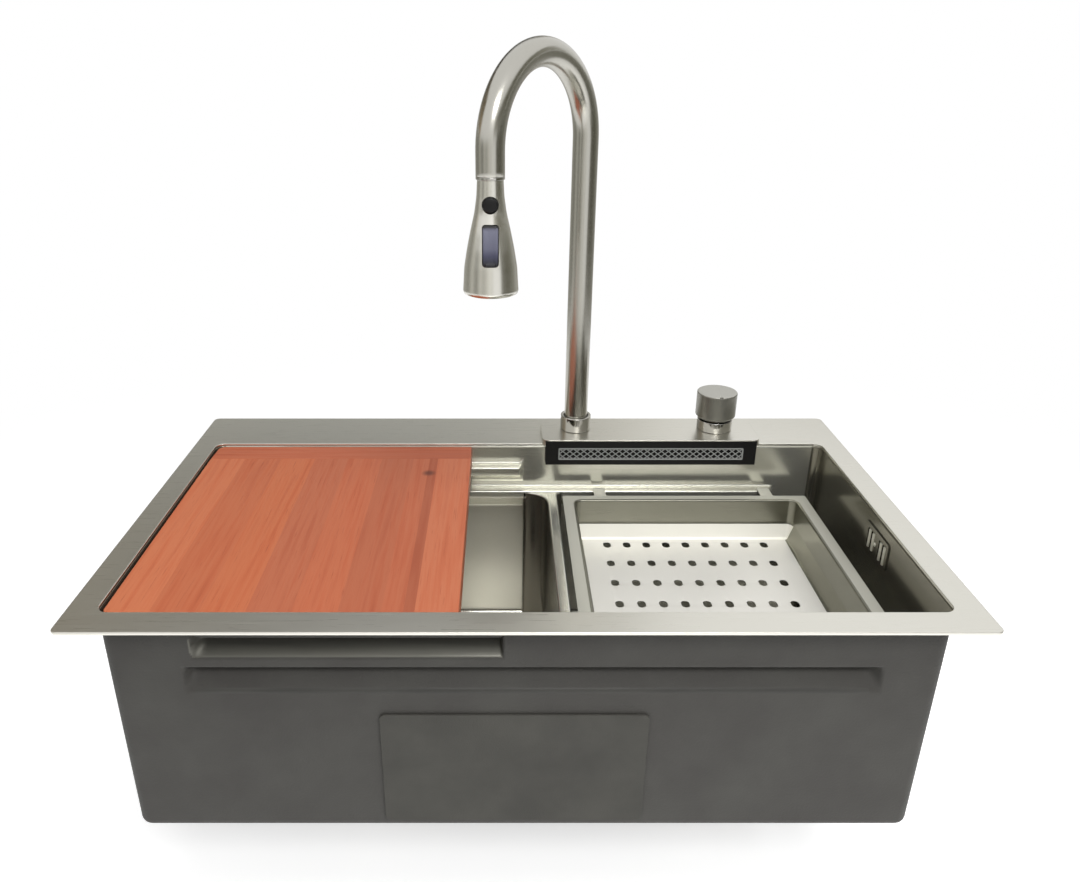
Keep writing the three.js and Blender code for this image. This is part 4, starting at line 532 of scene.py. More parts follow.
def circle(centre, radius, sides=64):
    """A closed loop of even steps round a circle: centre + radius (cos t, sin t)."""
    return arc(centre, radius, np.linspace(0, 2 * np.pi, sides, endpoint=False))


def inset(loop, amount):
    """A closed leftward loop drawn in: point + normal * amount / cos(half the turn there), the cos 0.35 or more."""
    ahead, behind = unit(np.roll(loop, -1, 0) - loop), unit(loop - np.roll(loop, 1, 0))
    normal = unit(np.stack([-(ahead + behind)[:, 1], (ahead + behind)[:, 0]], axis=-1))
    bend = np.maximum((normal * np.stack([-ahead[:, 1], ahead[:, 0]], axis=-1)).sum(1), 0.35)
    return loop + normal * (np.broadcast_to(amount, len(loop)) / bend)[:, None]


def stacked(loops, heights, finish=0):
    """A wall through closed loops of equal count, each at its height; the last point meets the first."""
    closed = [np.vstack([loop, loop[:1]]) for loop in loops]
    points = np.stack([np.column_stack([loop, np.full(len(loop), float(z))]) for loop, z in zip(closed, heights)])
    uv = np.stack(np.broadcast_arrays(run_along(closed[0]), np.asarray(heights, float)[:, None]), axis=-1) * MM
    return grid(points, uv, finish)


def slab(loop, bottom, top, ease, steps=3):
    """A level slab over a leftward loop: its side rounds into top and bottom by a quarter circle of ease.

    The loop is drawn in by ease (1 - sin t) at the height ease (1 - cos t) from each face.
    """
    t = quarter(steps + 1)
    drop = np.max(ease) * (1 - np.sin(t))
    draw = [np.asarray(ease) * (1 - np.cos(a)) for a in t]
    lower = [(inset(loop, d), bottom + h) for d, h in zip(draw[::-1], drop[::-1])]
    upper = [(inset(loop, d), top - h) for d, h in zip(draw, drop)]
    loops, heights = zip(*(upper[::-1] + lower[::-1]))
    return [stacked(loops, heights), filled([loops[0]], heights[0]), filled([loops[-1]], heights[-1])]


def spun(radius, height, centre, sides, finish=0, keep=None):
    """A surface round an upright axis: (x + r cos t, y + r sin t, h), where r may change along the turn t."""
    turn = np.linspace(0, 2 * np.pi, sides + 1)
    around = (centre[0] + radius * np.cos(turn), centre[1] + radius * np.sin(turn))
    return grid(np.stack(np.broadcast_arrays(*around, height[:, None]), axis=-1), None, finish, keep)


def lathe(profile, centre, sides=96, finish=0, keep=None):
    """A profile of (radius, height) turned round an upright axis; keep says which of its quads stay."""
    radius, height = np.asarray(profile, float).T
    return spun(radius[:, None], height, centre, sides, finish, keep)


def turned(profile, centre, sides=96, soft=0.6, finish=0, steps=3):
    """A closed (radius, height) outline with softened corners, turned round an upright axis."""
    outline = rounded(profile, soft, steps)
    return lathe(np.vstack([outline, outline[:1]]), centre, sides, finish)


def band(inner, outer, bottom, top):
    """The closed (radius, height) outline of a plain ring, or of a disc where inner is nought."""
    return [(inner, bottom), (outer, bottom), (outer, top), (inner, top)]


def recast(patch, place):
    """A patch whose points (x, y, z) go to place(x, y, z), such as a lying shape that is stood up."""
    return patch._replace(points=np.column_stack(np.broadcast_arrays(*place(*patch.points.T))))


def straight_path(x, y, z, count):
    """A straight level or upright path of count points, where each of x, y and z is one number or (from, to)."""
    return np.column_stack([np.linspace(*np.broadcast_to(side, 2), count) for side in (x, y, z)])


def swept(path, radii, sides=48, finish=0):
    """A tube round a path: path + r (cos t N + sin t B), N carried along without twisting.

    radii is one radius, or one for each point of the path.
    """
    path = np.asarray(path, float)
    tangent = unit(np.gradient(path, axis=0))
    normals = [np.cross(tangent[0], [0.31, 0.87, 0.12])]
    for direction in tangent[1:]:
        normals.append(normals[-1] - direction * np.dot(normals[-1], direction))
    normal = unit(np.array(normals))
    side = np.cross(tangent, normal)
    turn = np.linspace(0, 2 * np.pi, sides + 1)[None, :, None]
    reach = np.broadcast_to(radii, len(path))[:, None, None]
    ring = np.cos(turn) * normal[:, None] + np.sin(turn) * side[:, None]
    return grid(path[:, None] + reach * ring, None, finish)


def rims(walls, sides):
    """The flat rings that join two walls at their first and last rows."""
    rows = [wall.points.reshape(-1, sides + 1, 3) for wall in walls]
    return [grid(np.stack([row[end] for row in rows])) for end in (0, -1)]


def pipe(path, outer, inner, sides=64):
    """A hollow tube with open ends: the outside, the bore and a flat ring at each end."""
    walls = [swept(path, radius, sides) for radius in (outer, inner)]
    return walls + rims(walls, sides)


def threads(centre, radius, depth, pitch, bottom, top, bore, sides=64):
    """A threaded tube: radius - depth * |saw(height / pitch + turn)| on the outside, plain bore inside."""
    height = np.linspace(bottom, top, int((top - bottom) / pitch * 6) + 1)
    saw = np.abs(((height[:, None] / pitch + np.linspace(0, 1, sides + 1)) % 1) - 0.5) * 2
    fade = np.clip(np.minimum(height - bottom, top - height) / pitch, 0, 1)[:, None]
    walls = [
        spun(radius - depth * (1 - (1 - saw) * fade), height, centre, sides),
        lathe([(bore, bottom), (bore, top)], centre, sides)]
    return walls + rims(walls, sides)


def lugged(centre, outer, root, inner, bottom, top, lugs, sides=144):
    """A ring nut whose outside waves between root and outer: root + (outer - root) * smooth cos(lugs * turn)."""
    wave = np.clip(0.5 + 1.3 * np.cos(lugs * np.linspace(0, 2 * np.pi, sides + 1)), 0, 1)
    side, bore = root + (outer - root) * wave, np.full(sides + 1, inner)
    heights = np.array([bottom, top, top, top - 1, bottom + 1, bottom, bottom])
    return [spun(np.stack([bore, bore, side - 1, side, side, side - 1, bore]), heights, centre, sides)]


# ---- Making pieces ----------------------------------------------------------------------------------

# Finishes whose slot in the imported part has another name
SLOTS = {
    "tray_steel": "brushed_steel", "head_steel": "tap_steel", "end_steel": "polished_steel", "braid": "rubber",
    "grille_grey": "grey_plastic", "rocker": "rocker_plastic", "cleat_wood": "wood",
}


def new_object(name, data):
    """An object of the scene that holds a mesh, a lamp or a camera."""
    holder = bpy.data.objects.new(name, data)
    bpy.context.scene.collection.objects.link(holder)
    return holder


def new_mesh(name, patches):
    """One mesh in metres from patches in millimetres, with their maps and the indices of their finishes."""
    starts = np.cumsum([0] + [len(patch.points) for patch in patches])
    points = np.concatenate([patch.points for patch in patches]) * MM
    faces = [face for patch, start in zip(patches, starts) for face in (patch.faces + start).tolist()]
    mesh = bpy.data.meshes.new(name)
    mesh.from_pydata(points.tolist(), [], faces)
    corners = np.zeros(len(mesh.loops), int)
    mesh.loops.foreach_get("vertex_index", corners)
    layer = mesh.uv_layers.new(name="surface")
    layer.data.foreach_set("uv", np.concatenate([patch.uv for patch in patches])[corners].ravel())
    index = np.concatenate([np.broadcast_to(patch.finish, len(patch.faces)) for patch in patches])
    mesh.polygons.foreach_set("material_index", index.astype(np.int32))
    return mesh


def make(name, patches, finishes, body, replaces=(), slot=None, toward=None, solid=None, bevel=None, clean=False):
    """Puts patches into one mesh, merges their seams and lets the piece ride on its body.

    A closed piece faces outwards. An open sheet faces the point toward, in millimetres, and solid gives it
    its thickness on the other side. bevel softens edges sharper than 35 degrees. The slot is the first
    finish's own one where none is given; it is handed on to dress, which does not use it.
    """
    mesh = new_mesh(name, patches)
    welded = bmesh.new()
    welded.from_mesh(mesh)
    bmesh.ops.remove_doubles(welded, verts=welded.verts, dist=2e-6)
    bmesh.ops.dissolve_degenerate(welded, edges=welded.edges, dist=1e-6)
    if clean:
        bmesh.ops.dissolve_limit(welded, angle_limit=0.002, verts=welded.verts, edges=welded.edges)
    bmesh.ops.recalc_face_normals(welded, faces=welded.faces)
    if toward is not None:
        aim = Vector(toward) * MM
        facing = sum(face.calc_area() * face.normal.dot((aim - face.calc_center_median()).normalized())
                     for face in welded.faces)
        if facing < 0:
            bmesh.ops.reverse_faces(welded, faces=welded.faces)
    welded.to_mesh(mesh)
    welded.free()
    finishes = [finishes] if isinstance(finishes, str) else finishes
    slot = SLOTS.get(finishes[0], finishes[0]) if slot is None else slot
    return dress(mesh, name, finishes, body, replaces, slot, solid, bevel)


def dress(mesh, name, finishes, body, replaces, slot, solid=None, bevel=None):
    """Gives a mesh its materials, its smooth shading and its finishing modifiers, and places it on a body."""
    mesh.shade_smooth()
    piece = new_object(name, mesh)
    for wanted in finishes:
        mesh.materials.append(finish(wanted))
    if solid:
        wall = piece.modifiers.new("wall", "SOLIDIFY")
        wall.thickness = solid * MM
        wall.offset = -1.0
        wall.use_even_offset = True
        wall.material_offset = min(1, len(finishes) - 1)
    if bevel:
        edge = piece.modifiers.new("edge", "BEVEL")
        edge.width = bevel * MM
        edge.segments = 2
        edge.limit_method = "ANGLE"
        edge.angle_limit = math.radians(35)
        edge.miter_outer = "MITER_ARC"
    shading = piece.modifiers.new("shading", "WEIGHTED_NORMAL")
    shading.keep_sharp = True
    if body:
        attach(piece, body)
    if replaces:
        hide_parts(*([replaces] if isinstance(replaces, str) else replaces))
    return piece


def eased_copy(node, name, finish_name, bevel):
    """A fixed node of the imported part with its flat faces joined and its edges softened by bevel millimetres."""
    solid = bmesh.new()
    solid.from_mesh(frame["nodes"][node].data)
    bmesh.ops.remove_doubles(solid, verts=solid.verts, dist=1e-5)
    bmesh.ops.dissolve_limit(solid, angle_limit=math.radians(1.5), verts=solid.verts, edges=solid.edges)
    mesh = bpy.data.meshes.new(name)
    solid.to_mesh(mesh)
    solid.free()
    mesh.materials.clear()
    return dress(mesh, name, [finish_name], "sink", node, finish_name, bevel=bevel)


def cut_out(piece, patches, name):
    """Cuts a closed shape out of a piece; the cut is worked out once and kept in the piece's mesh."""
    cutter = make(name, patches, "black_plastic", piece["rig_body"], slot="")
    boolean = piece.modifiers.new("cut", "BOOLEAN")
    boolean.operation = "DIFFERENCE"
    boolean.solver = "EXACT"
    boolean.object = cutter
    piece.modifiers.move(len(piece.modifiers) - 1, 0)
    bpy.context.view_layer.update()
    shading = piece.modifiers["shading"]
    shading.show_viewport = False
    mesh = bpy.data.meshes.new_from_object(piece.evaluated_get(bpy.context.evaluated_depsgraph_get()))
    shading.show_viewport = True
    piece.modifiers.remove(boolean)
    old, piece.data = piece.data, mesh
    mesh.name = old.name
    bpy.data.meshes.remove(old)
    bpy.data.objects.remove(cutter)


def keep_edges(piece, degrees=40):
    """Smooths a cut piece again and leaves the edges of its cuts sharp."""
    piece.data.shade_smooth()
    piece.data.set_sharp_from_angle(angle=math.radians(degrees))


def make_ring(name, node, finish_name, body, centre, inner, outer, sides=96, soft=0.6):
    """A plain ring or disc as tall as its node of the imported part."""
    low, high = box_mm(node)
    return make(name, [turned(band(inner, outer, low[2], high[2]), centre, sides, soft)], finish_name, body, node)


# ---- User's sizes and colours -----------------------------------------------------------------------


class SinkSizes(bpy.types.PropertyGroup):
    """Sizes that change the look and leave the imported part's own places alone."""

    rim_ease: bpy.props.FloatProperty(
        name="Rim ease", description="Rounding of the rim plate's edges",
        default=0.0007, min=0.0001, unit="LENGTH", subtype="DISTANCE")
    ledge_round: bpy.props.FloatProperty(
        name="Ledge rounding", description="Bend of the pressed ledges",
        default=0.0022, min=0.0005, unit="LENGTH", subtype="DISTANCE")
    board_ease: bpy.props.FloatProperty(
        name="Board ease", description="Rounding of the board's edges",
        default=0.0015, min=0.0003, unit="LENGTH", subtype="DISTANCE")
    tube_sides: bpy.props.IntProperty(
        name="Tube sides", description="Facets round the gooseneck", default=72, min=24, max=128)
    lamp_power: bpy.props.FloatProperty(
        name="Top lamp power", description="Power of the large soft lamp overhead, in watts",
        default=33.0, min=0.0)


def colour_property(name, hex_colour, description):
    """A colour property whose default is an sRGB hex colour made linear."""
    return bpy.props.FloatVectorProperty(
        name=name, description=description, default=linear(hex_colour)[:3], size=3, min=0, max=1, subtype="COLOR")


class SinkColours(bpy.types.PropertyGroup):
    """Colour of each finish and of the studio floor."""

    floor: colour_property("Floor", "#e9e9e9", "Studio floor")
    __annotations__.update({key: colour_property(*look[1:]) for key, look in FINISHES.items()})


# ---- Pieces -----------------------------------------------------------------------------------------


class KITCHENSINK_OT_rim(bpy.types.Operator):
    """Adds the rim plate with its opening and tap holes, and the foam seal under it"""

    bl_idname = "kitchen_sink.rim"
    bl_label = "Rim Plate and Seal"

    def execute(self, context):
        outline = round_rectangle(RIM_LOW[0], RIM_HIGH[0], RIM_LOW[1], RIM_HIGH[1], RIM_CORNER)
        opening = round_rectangle(TUB_LEFT, TUB_RIGHT, TUB_FRONT, TUB_REAR, TUB_CORNER)
        holes = [circle(place, TAP_HOLE, 48) for place in (RISER, KNOB)]
        make("rim_plate", [filled([outline, opening] + holes, RIM_HIGH[2])], "brushed_steel", "sink", "rim_deck",
             toward=(0, 0, 9000), solid=RIM_HIGH[2] - TUB_TOP, bevel=context.scene.sink_sizes.rim_ease / MM,
             clean=True)
        eased_copy("rim_seal", "foam_seal", "foam", 0.4)
        return {"FINISHED"}


def ledge_scale(x, left, right, left_taper, right_taper):
    """Share of a ledge's reach at x: 0.03 + 0.97 sin of a quarter turn that runs over the taper at each end."""
    share = np.clip(np.minimum((x - left) / left_taper, (right - x) / right_taper), 0, 1)
    return np.where((x > left) & (x < right), 0.03 + 0.97 * np.sin(share * np.pi / 2), 0.0)


def wall_walk():
    """Points round the tub with their inward normals, closer together where the ledges taper off."""
    tapers = [(-291, -275, 13), (-301, -285, 13), (-24, -17, 9), (-1, 6, 9), (298, 314, 13)]
    left, right = TUB_LEFT + TUB_CORNER, TUB_RIGHT - TUB_CORNER
    near, far = TUB_FRONT + TUB_CORNER, TUB_REAR - TUB_CORNER
    along = np.unique(np.round(np.concatenate(
        [np.linspace(left, right, 26)] + [np.linspace(*taper) for taper in tapers]), 3))
    across = np.unique(np.concatenate([np.linspace(near, far, 14), np.linspace(-60, -14, 12)]))
    bend = quarter(9)[1:-1]

    def straight(*columns):
        """Points (x, y) of a flat wall with its normal (nx, ny)."""
        return np.column_stack(np.broadcast_arrays(*columns)).astype(float)

    def corner(x, y, start):
        """Points of a round corner, centre + radius (cos t, sin t), with their normals (-cos t, -sin t)."""
        return np.hstack([arc((x, y), TUB_CORNER, start + bend), -arc((0, 0), 1, start + bend)])

    walk = np.concatenate([
        straight(along, TUB_FRONT, 0, 1), corner(right, near, -np.pi / 2),
        straight(TUB_RIGHT, across, -1, 0), corner(right, far, 0),
        straight(along[::-1], TUB_REAR, 0, -1), corner(left, far, np.pi / 2),
        straight(TUB_LEFT, across[::-1], 1, 0), corner(left, near, np.pi),
    ])
    return np.vstack([walk, walk[:1]])


# The sheet's finishes in pairs, inside and outside: plain wall; upper groove, whose bare steel outside stands in
# for the light it catches, a painted highlight; end cap, a darker copy as painted shade; floor, a paler copy as
# painted light; and the lower groove's lip, a glossier copy of the coat as a painted highlight
TUB_FINISHES = [
    "tub_steel", "sound_coat", "tub_steel", "bare_groove", "end_steel", "sound_coat", "floor_steel", "sound_coat",
    "tub_steel", "rubbed_coat"]
WALL, GROOVE_HIGHLIGHT, SHADED_END, LIT_BASE, LIP_HIGHLIGHT = range(0, 10, 2)


def tub_surface(bend):
    """The inside of the tub: a walk round its walls by a section down them, and the edge of its floor.

    Point = wall + inward normal * reach(height). A ledge's reach grows with its scale along the wall, and
    where the scale is nought the section's points spread evenly down the flat wall. The floor's bend is
    reach = r (1 - cos t), height = floor + r - r sin t.
    """
    between, clear, foot = -47, -90, FLOOR + FLOOR_BEND
    section = rounded([
        (0, TUB_TOP), (0, UPPER_TOP), (LEDGE_REACH, UPPER_TOP), (LEDGE_REACH, UPPER_NOSE), (0, UPPER_FOOT),
        (0, LOWER_TOP), (LEDGE_REACH, LOWER_TOP), (LEDGE_REACH, LOWER_NOSE), (0, LOWER_FOOT), (0, foot),
    ], bend, 5, closed=False)
    section = finer(section, 5)
    straight = section[:, 1] < clear - 5
    section = section[~straight | (np.cumsum(straight) % 5 == 0)]
    section = np.vstack([section[section[:, 1] > foot + 3], [(0, foot)]])
    run = run_along(section)
    upper = section[:, 1] > between
    split, low = run[upper][-1] + 2, run[section[:, 1] > clear][-1]
    flat = np.interp(run, [0, split, low, run[-1]], [TUB_TOP, between, clear, foot])[:, None]
    walk = wall_walk()
    x, rear = walk[:, 0], walk[:, 3] < 0
    upper_right = np.where(rear, UPPER_RIGHT_REAR, UPPER_RIGHT_FRONT)
    on_long_wall = np.abs(walk[:, 3]) > 0.999
    scale_upper = ledge_scale(x, UPPER_LEFT, upper_right, LEDGE_TAPER, 5) * on_long_wall
    scale_lower = ledge_scale(x, LOWER_LEFT, LOWER_RIGHT, LEDGE_TAPER, LEDGE_TAPER) * on_long_wall
    scale = np.where(upper[:, None], scale_upper[None], scale_lower[None])
    out, down = section.T[:, :, None]
    reach = np.where(down < clear, 0, out * scale)
    height = np.where(down < clear, down, down * scale + flat * (1 - scale))
    turn = quarter(7)[1:, None]
    reach = np.vstack([reach, np.broadcast_to(FLOOR_BEND * (1 - np.cos(turn)), (6, len(walk)))])
    height = np.vstack([height, np.broadcast_to(foot - FLOOR_BEND * np.sin(turn), (6, len(walk)))])
    points = np.stack([walk[:, 0] + walk[:, 2] * reach, walk[:, 1] + walk[:, 3] * reach, height], axis=-1)
    length = np.concatenate([run, run[-1] + 14 * np.linspace(0, 1, 7)[1:]])
    uv = np.stack(np.broadcast_arrays(run_along(walk[:, :2]), length[:, None]), axis=-1) * MM
    x, y, z = np.moveaxis((points[:-1, :-1] + points[1:, 1:]) / 2, -1, 0)
    hole = (x > TUB_RIGHT - 1) & (np.abs(y - OVERFLOW_Y) < 23) & (np.abs(z - OVERFLOW_Z) < 10)
    # The outside of the front's upper groove takes bare steel: painted highlight
    groove = (y < 0) & (reach[1:, 1:] > 0.4) & (z < -22) & (z > -46)
    # The lower groove's lip takes a glossier copy of the coat: painted highlight
    lip = (z > -81) & (z < -74.5) & (scale_lower[None, 1:] > 0.9)
    # End caps past 352 mm take the darker steel inside: painted shade
    sheet = np.where(groove, GROOVE_HIGHLIGHT, np.where(np.abs(x) > 352, SHADED_END, np.where(lip, LIP_HIGHLIGHT, WALL)))
    return grid(points, uv, sheet[~hole], ~hole), points[-1, :-1, :2]


class KITCHENSINK_OT_tub(bpy.types.Operator):
    """Adds the drawn tub with its pressed ledges, dished drain seats and dark outside coat"""

    bl_idname = "kitchen_sink.tub"
    bl_label = "Tub"

    def execute(self, context):
        walls, floor_edge = tub_surface(context.scene.sink_sizes.ledge_round / MM)
        # The floor and the drain seats take the paler floor steel: painted light
        floor = filled([floor_edge] + [circle(drain, DRAIN_SEAT, 96) for drain in DRAINS], FLOOR, LIT_BASE)
        dish = [(DRAIN_SEAT, 0), (60.2, -0.3), (59.2, -1.3), (58.6, -2.4), (57.5, -3), (45, -3)]
        seats = [lathe([(radius, FLOOR + drop) for radius, drop in dish], drain, 96, LIT_BASE) for drain in DRAINS]
        make("tub", [walls, floor] + seats, TUB_FINISHES, "sink", ("tub_wrap", "tub_end_left", "tub_end_right"),
             toward=(0, (TUB_FRONT + TUB_REAR) / 2, -100), solid=TUB_WALL)
        return {"FINISHED"}


class KITCHENSINK_OT_divider(bpy.types.Operator):
    """Adds the hollow divider with its flared ends and rounded top"""

    bl_idname = "kitchen_sink.divider"
    bl_label = "Divider"

    def execute(self, context):
        left, right, top = 34, 46, box_mm("divider")[1][2]
        wide, narrow, bend = 28, 6, 2.6
        near, far = TUB_FRONT + LEDGE_REACH, TUB_REAR - LEDGE_REACH

        def flare(x, y, radius, start):
            """A quarter circle that turns rightwards from the angle start."""
            return arc((x, y), radius, start - quarter(13))

        plan = np.concatenate([
            [(left - wide, TUB_FRONT), (right + narrow, TUB_FRONT)],
            flare(right + narrow, near + narrow, narrow, -np.pi / 2),
            flare(right + narrow, far - narrow, narrow, np.pi),
            [(right + narrow, TUB_REAR), (left - wide, TUB_REAR)],
            flare(left - wide, far - wide, wide, np.pi / 2), flare(left - wide, near + wide, wide, 0),
        ])
        turn, low_turn = quarter(6), quarter(7)
        heights = np.concatenate([
            FLOOR + FLOOR_BEND * (1 - np.cos(low_turn)), [-160, -90, LOWER_FOOT, -70, -64, LOWER_NOSE, -58],
            top - bend + bend * np.sin(turn)])
        draw = np.concatenate([np.zeros(14), bend * (1 - np.cos(turn))])
        drops = [-LOWER_TOP, 0.1 - LOWER_TOP, -LOWER_NOSE, -LOWER_FOOT, 0.5 - LOWER_FOOT]
        ledge = np.interp(-heights, drops, [0, LEDGE_REACH, LEDGE_REACH, 0, 0])
        ledge[:7] = FLOOR_BEND * (1 - np.sin(low_turn))
        loops = []
        for amount, nose in zip(draw, ledge):
            loop = inset(plan, amount)
            loop[:, 1] = np.clip(loop[:, 1], TUB_FRONT + nose, TUB_REAR - nose)
            loops.append(loop)
        # The divider's sides take the darker end steel as painted shade, and its top the lighter tub steel
        make("divider_wall", [
            stacked(loops[:-4], heights[:-4], 1), stacked(loops[-5:], heights[-5:]),
            filled([loops[-1]], heights[-1]), filled([loops[0]], FLOOR),
        ], ["tub_steel", "end_steel"], "sink", "divider", "brushed_steel")
        return {"FINISHED"}


class KITCHENSINK_OT_overflow(bpy.types.Operator):
    """Adds the slotted overflow cover, the chamber outside the wall and its ribbed pipe"""

    bl_idname = "kitchen_sink.overflow"
    bl_label = "Overflow"

    def execute(self, context):
        low, high = box_mm("overflow_cover")
        bottom, top = OVERFLOW_Z - 10, OVERFLOW_Z + 10
        outline = round_rectangle(low[1], high[1], low[2], high[2], 4)
        slots = [round_rectangle(y - 2, y + 2, bottom, top, 1.9) for y in (-55.5, -46.5, -27.5, -18.5)]
        cover = recast(filled([outline] + slots, 0), lambda x, y, z: (low[0] - z, x, y))
        screw = lathe([(0, 1.4), (1.3, 1.1), (2.2, 0.4), (2.2, -0.3), (0, -0.3)], (0, 0), 24)
        bars = [recast(screw, lambda x, y, z: (low[0] - z, x + OVERFLOW_Y, y + OVERFLOW_Z))]
        foot, crest = low[0] + 0.3, low[0] - 1.3
        for y in (-60, -51, -32, -23):
            bar = rounded([(foot, y - 2.1), (crest, y - 1.3), (crest, y + 1.3), (foot, y + 2.1)], 0.5)
            bars += slab(bar[::-1], bottom, top, 0.3)
        # The overflow cover takes the darker end steel of the shaded end wall: painted shade
        make("overflow_plate", [cover], "end_steel", "sink", "overflow_cover", solid=high[0] - low[0],
             toward=(0, OVERFLOW_Y, OVERFLOW_Z), bevel=0.25, clean=True)
        make("overflow_bars", bars, "brushed_steel", "sink", slot="polished_steel")
        eased_copy("overflow_housing", "overflow_chamber", "black_plastic", 0.9)
        upright_x, elbow, start, end = 378.1, 34, -62.3, 264.3
        turn = quarter(25)
        centre_x, centre_z = upright_x - elbow, OVERFLOW_LEVEL + elbow
        path = finer(np.concatenate([
            straight_path(upright_x, OVERFLOW_Y, (start, centre_z), 60),
            np.column_stack([
                centre_x + elbow * np.cos(turn), np.full(25, OVERFLOW_Y), centre_z - elbow * np.sin(turn)])[1:],
            straight_path((centre_x, end), OVERFLOW_Y, OVERFLOW_LEVEL, 28)[1:],
        ]), 1.0)
        run = np.arange(len(path))
        ribbed = (run > 18) & (run < len(path) - 18)
        outer = np.where(ribbed, 8.5 + 0.5 * np.sin(run * 2 * np.pi / 5), 9.0)
        make("overflow_tube", pipe(path, outer, 7.3, 32), "grey_plastic", "sink", "overflow_pipe")
        return {"FINISHED"}


class KITCHENSINK_OT_sound_pads(bpy.types.Operator):
    """Adds the five sound-deadening pads outside the tub"""

    bl_idname = "kitchen_sink.sound_pads"
    bl_label = "Sound Pads"

    def execute(self, context):
        for side in ("front", "rear", "left", "right", "floor"):
            eased_copy(f"pad_{side}", f"sound_pad_{side}", "sound_pad", 0.7)
        return {"FINISHED"}


class KITCHENSINK_OT_drains(bpy.types.Operator):
    """Adds both strainer drains with their flanges, gaskets, ring nuts and tails"""

    bl_idname = "kitchen_sink.drains"
    bl_label = "Drains"

    def execute(self, context):
        cup = [
            (20.5, -325.5), (20.5, -303.5), (41, -301.5), (41, -244), (44.5, -240.9), (52, -240.2), (56, -240.9),
            (56, -241.2), (43, -241.3), (43, -303.5), (23, -303.5), (23, -325.5)]
        tail = [(18, -385.8), (20, -385.8), (20, -328.5), (23, -327.8), (23, -325.8), (18, -325.8)]
        for side, centre in zip(("left", "right"), DRAINS):
            parts = [turned(cup, centre, 96, 0.9)]
            if side == "right":
                spigot = straight_path((264, 246), centre[1], OVERFLOW_LEVEL, 4)
                parts += pipe(spigot, 8.9, 7, 32)
            make(f"{side}_drain_cup", parts, "polished_steel", "sink", f"{side}_drain_body")
            make_ring(f"{side}_drain_seal", f"{side}_drain_gasket", "rubber", "sink", centre, 43.3, 56)
            low, high = box_mm(f"{side}_drain_nut")
            make(f"{side}_ring_nut", lugged(centre, 53, 49, 43.4, low[2], high[2], 8), "grey_plastic", "sink",
                 f"{side}_drain_nut")
            make(f"{side}_tail_pipe", [turned(tail, centre, 64)], "white_plastic", "sink", f"{side}_drain_tail")
            low, high = box_mm(f"{side}_slip_nut")
            make(f"{side}_slip_ring", lugged(centre, 29, 27.2, 23.4, low[2], high[2], 10), "white_plastic", "sink",
                 f"{side}_slip_nut")
        return {"FINISHED"}


class KITCHENSINK_OT_strainers(bpy.types.Operator):
    """Adds both pressed strainer baskets with their slots and lifting knobs"""

    bl_idname = "kitchen_sink.strainers"
    bl_label = "Strainer Baskets"

    def execute(self, context):
        sides = 96
        line = finer(rounded([
            (44, -239.2), (39, -239.4), (38.6, -255), (33, -264.3), (4, -264.3)], 1.8, 4, closed=False), 2.4)
        grip = rounded([
            (0, -247.7), (9, -248.3), (9, -252.7), (4.5, -253.5), (4.5, -264.2), (0, -264.2)], 1.2, 4, closed=False)
        radius, height = ((line[:-1] + line[1:]) / 2).T[:, :, None]
        column = np.arange(sides)[None, :]
        wall_slots = (height < -242.5) & (height > -253) & (column % 6 < 2)
        floor_slots = (height < -263.9) & (radius > 14) & (radius < 30) & (column % 8 < 3)
        for side, centre in zip(("left", "right"), DRAINS):
            shell = lathe(line, centre, sides, keep=~(wall_slots | floor_slots))
            make(f"{side}_basket", [shell], "polished_steel", f"{side}_strainer", f"{side}_strainer_basket",
                 toward=(*centre, -150), solid=0.9)
            make(f"{side}_basket_knob", [lathe(grip, centre, 48)], "polished_steel", f"{side}_strainer")
        return {"FINISHED"}


class KITCHENSINK_OT_board(bpy.types.Operator):
    """Adds the chopping board: a panel of staves and the cleat across its rear end"""

    bl_idname = "kitchen_sink.board"
    bl_label = "Chopping Board"

    def execute(self, context):
        ease, seam_ease, gap = context.scene.sink_sizes.board_ease / MM, 0.18, 0.05
        (left, front, bottom), (right, seam, top) = box_mm("board_panel")
        rear = box_mm("board_cleat")[1][1]
        panel = round_rectangle(left, right, front, seam - gap, (0.3, 0.3, 8, 1.5))
        cleat = round_rectangle(left, right, seam + gap, rear, (1.5, 8, 0.3, 0.3))
        panel_ease = np.where(panel[:, 1] > seam - 1, seam_ease, ease)
        cleat_ease = np.where(cleat[:, 1] < seam + 1, seam_ease, ease)
        make("board_staves", slab(panel, bottom, top, panel_ease), "wood", "board", "board_panel")
        make("board_end_cleat", slab(cleat, bottom, top, cleat_ease), "cleat_wood", "board", "board_cleat")
        return {"FINISHED"}


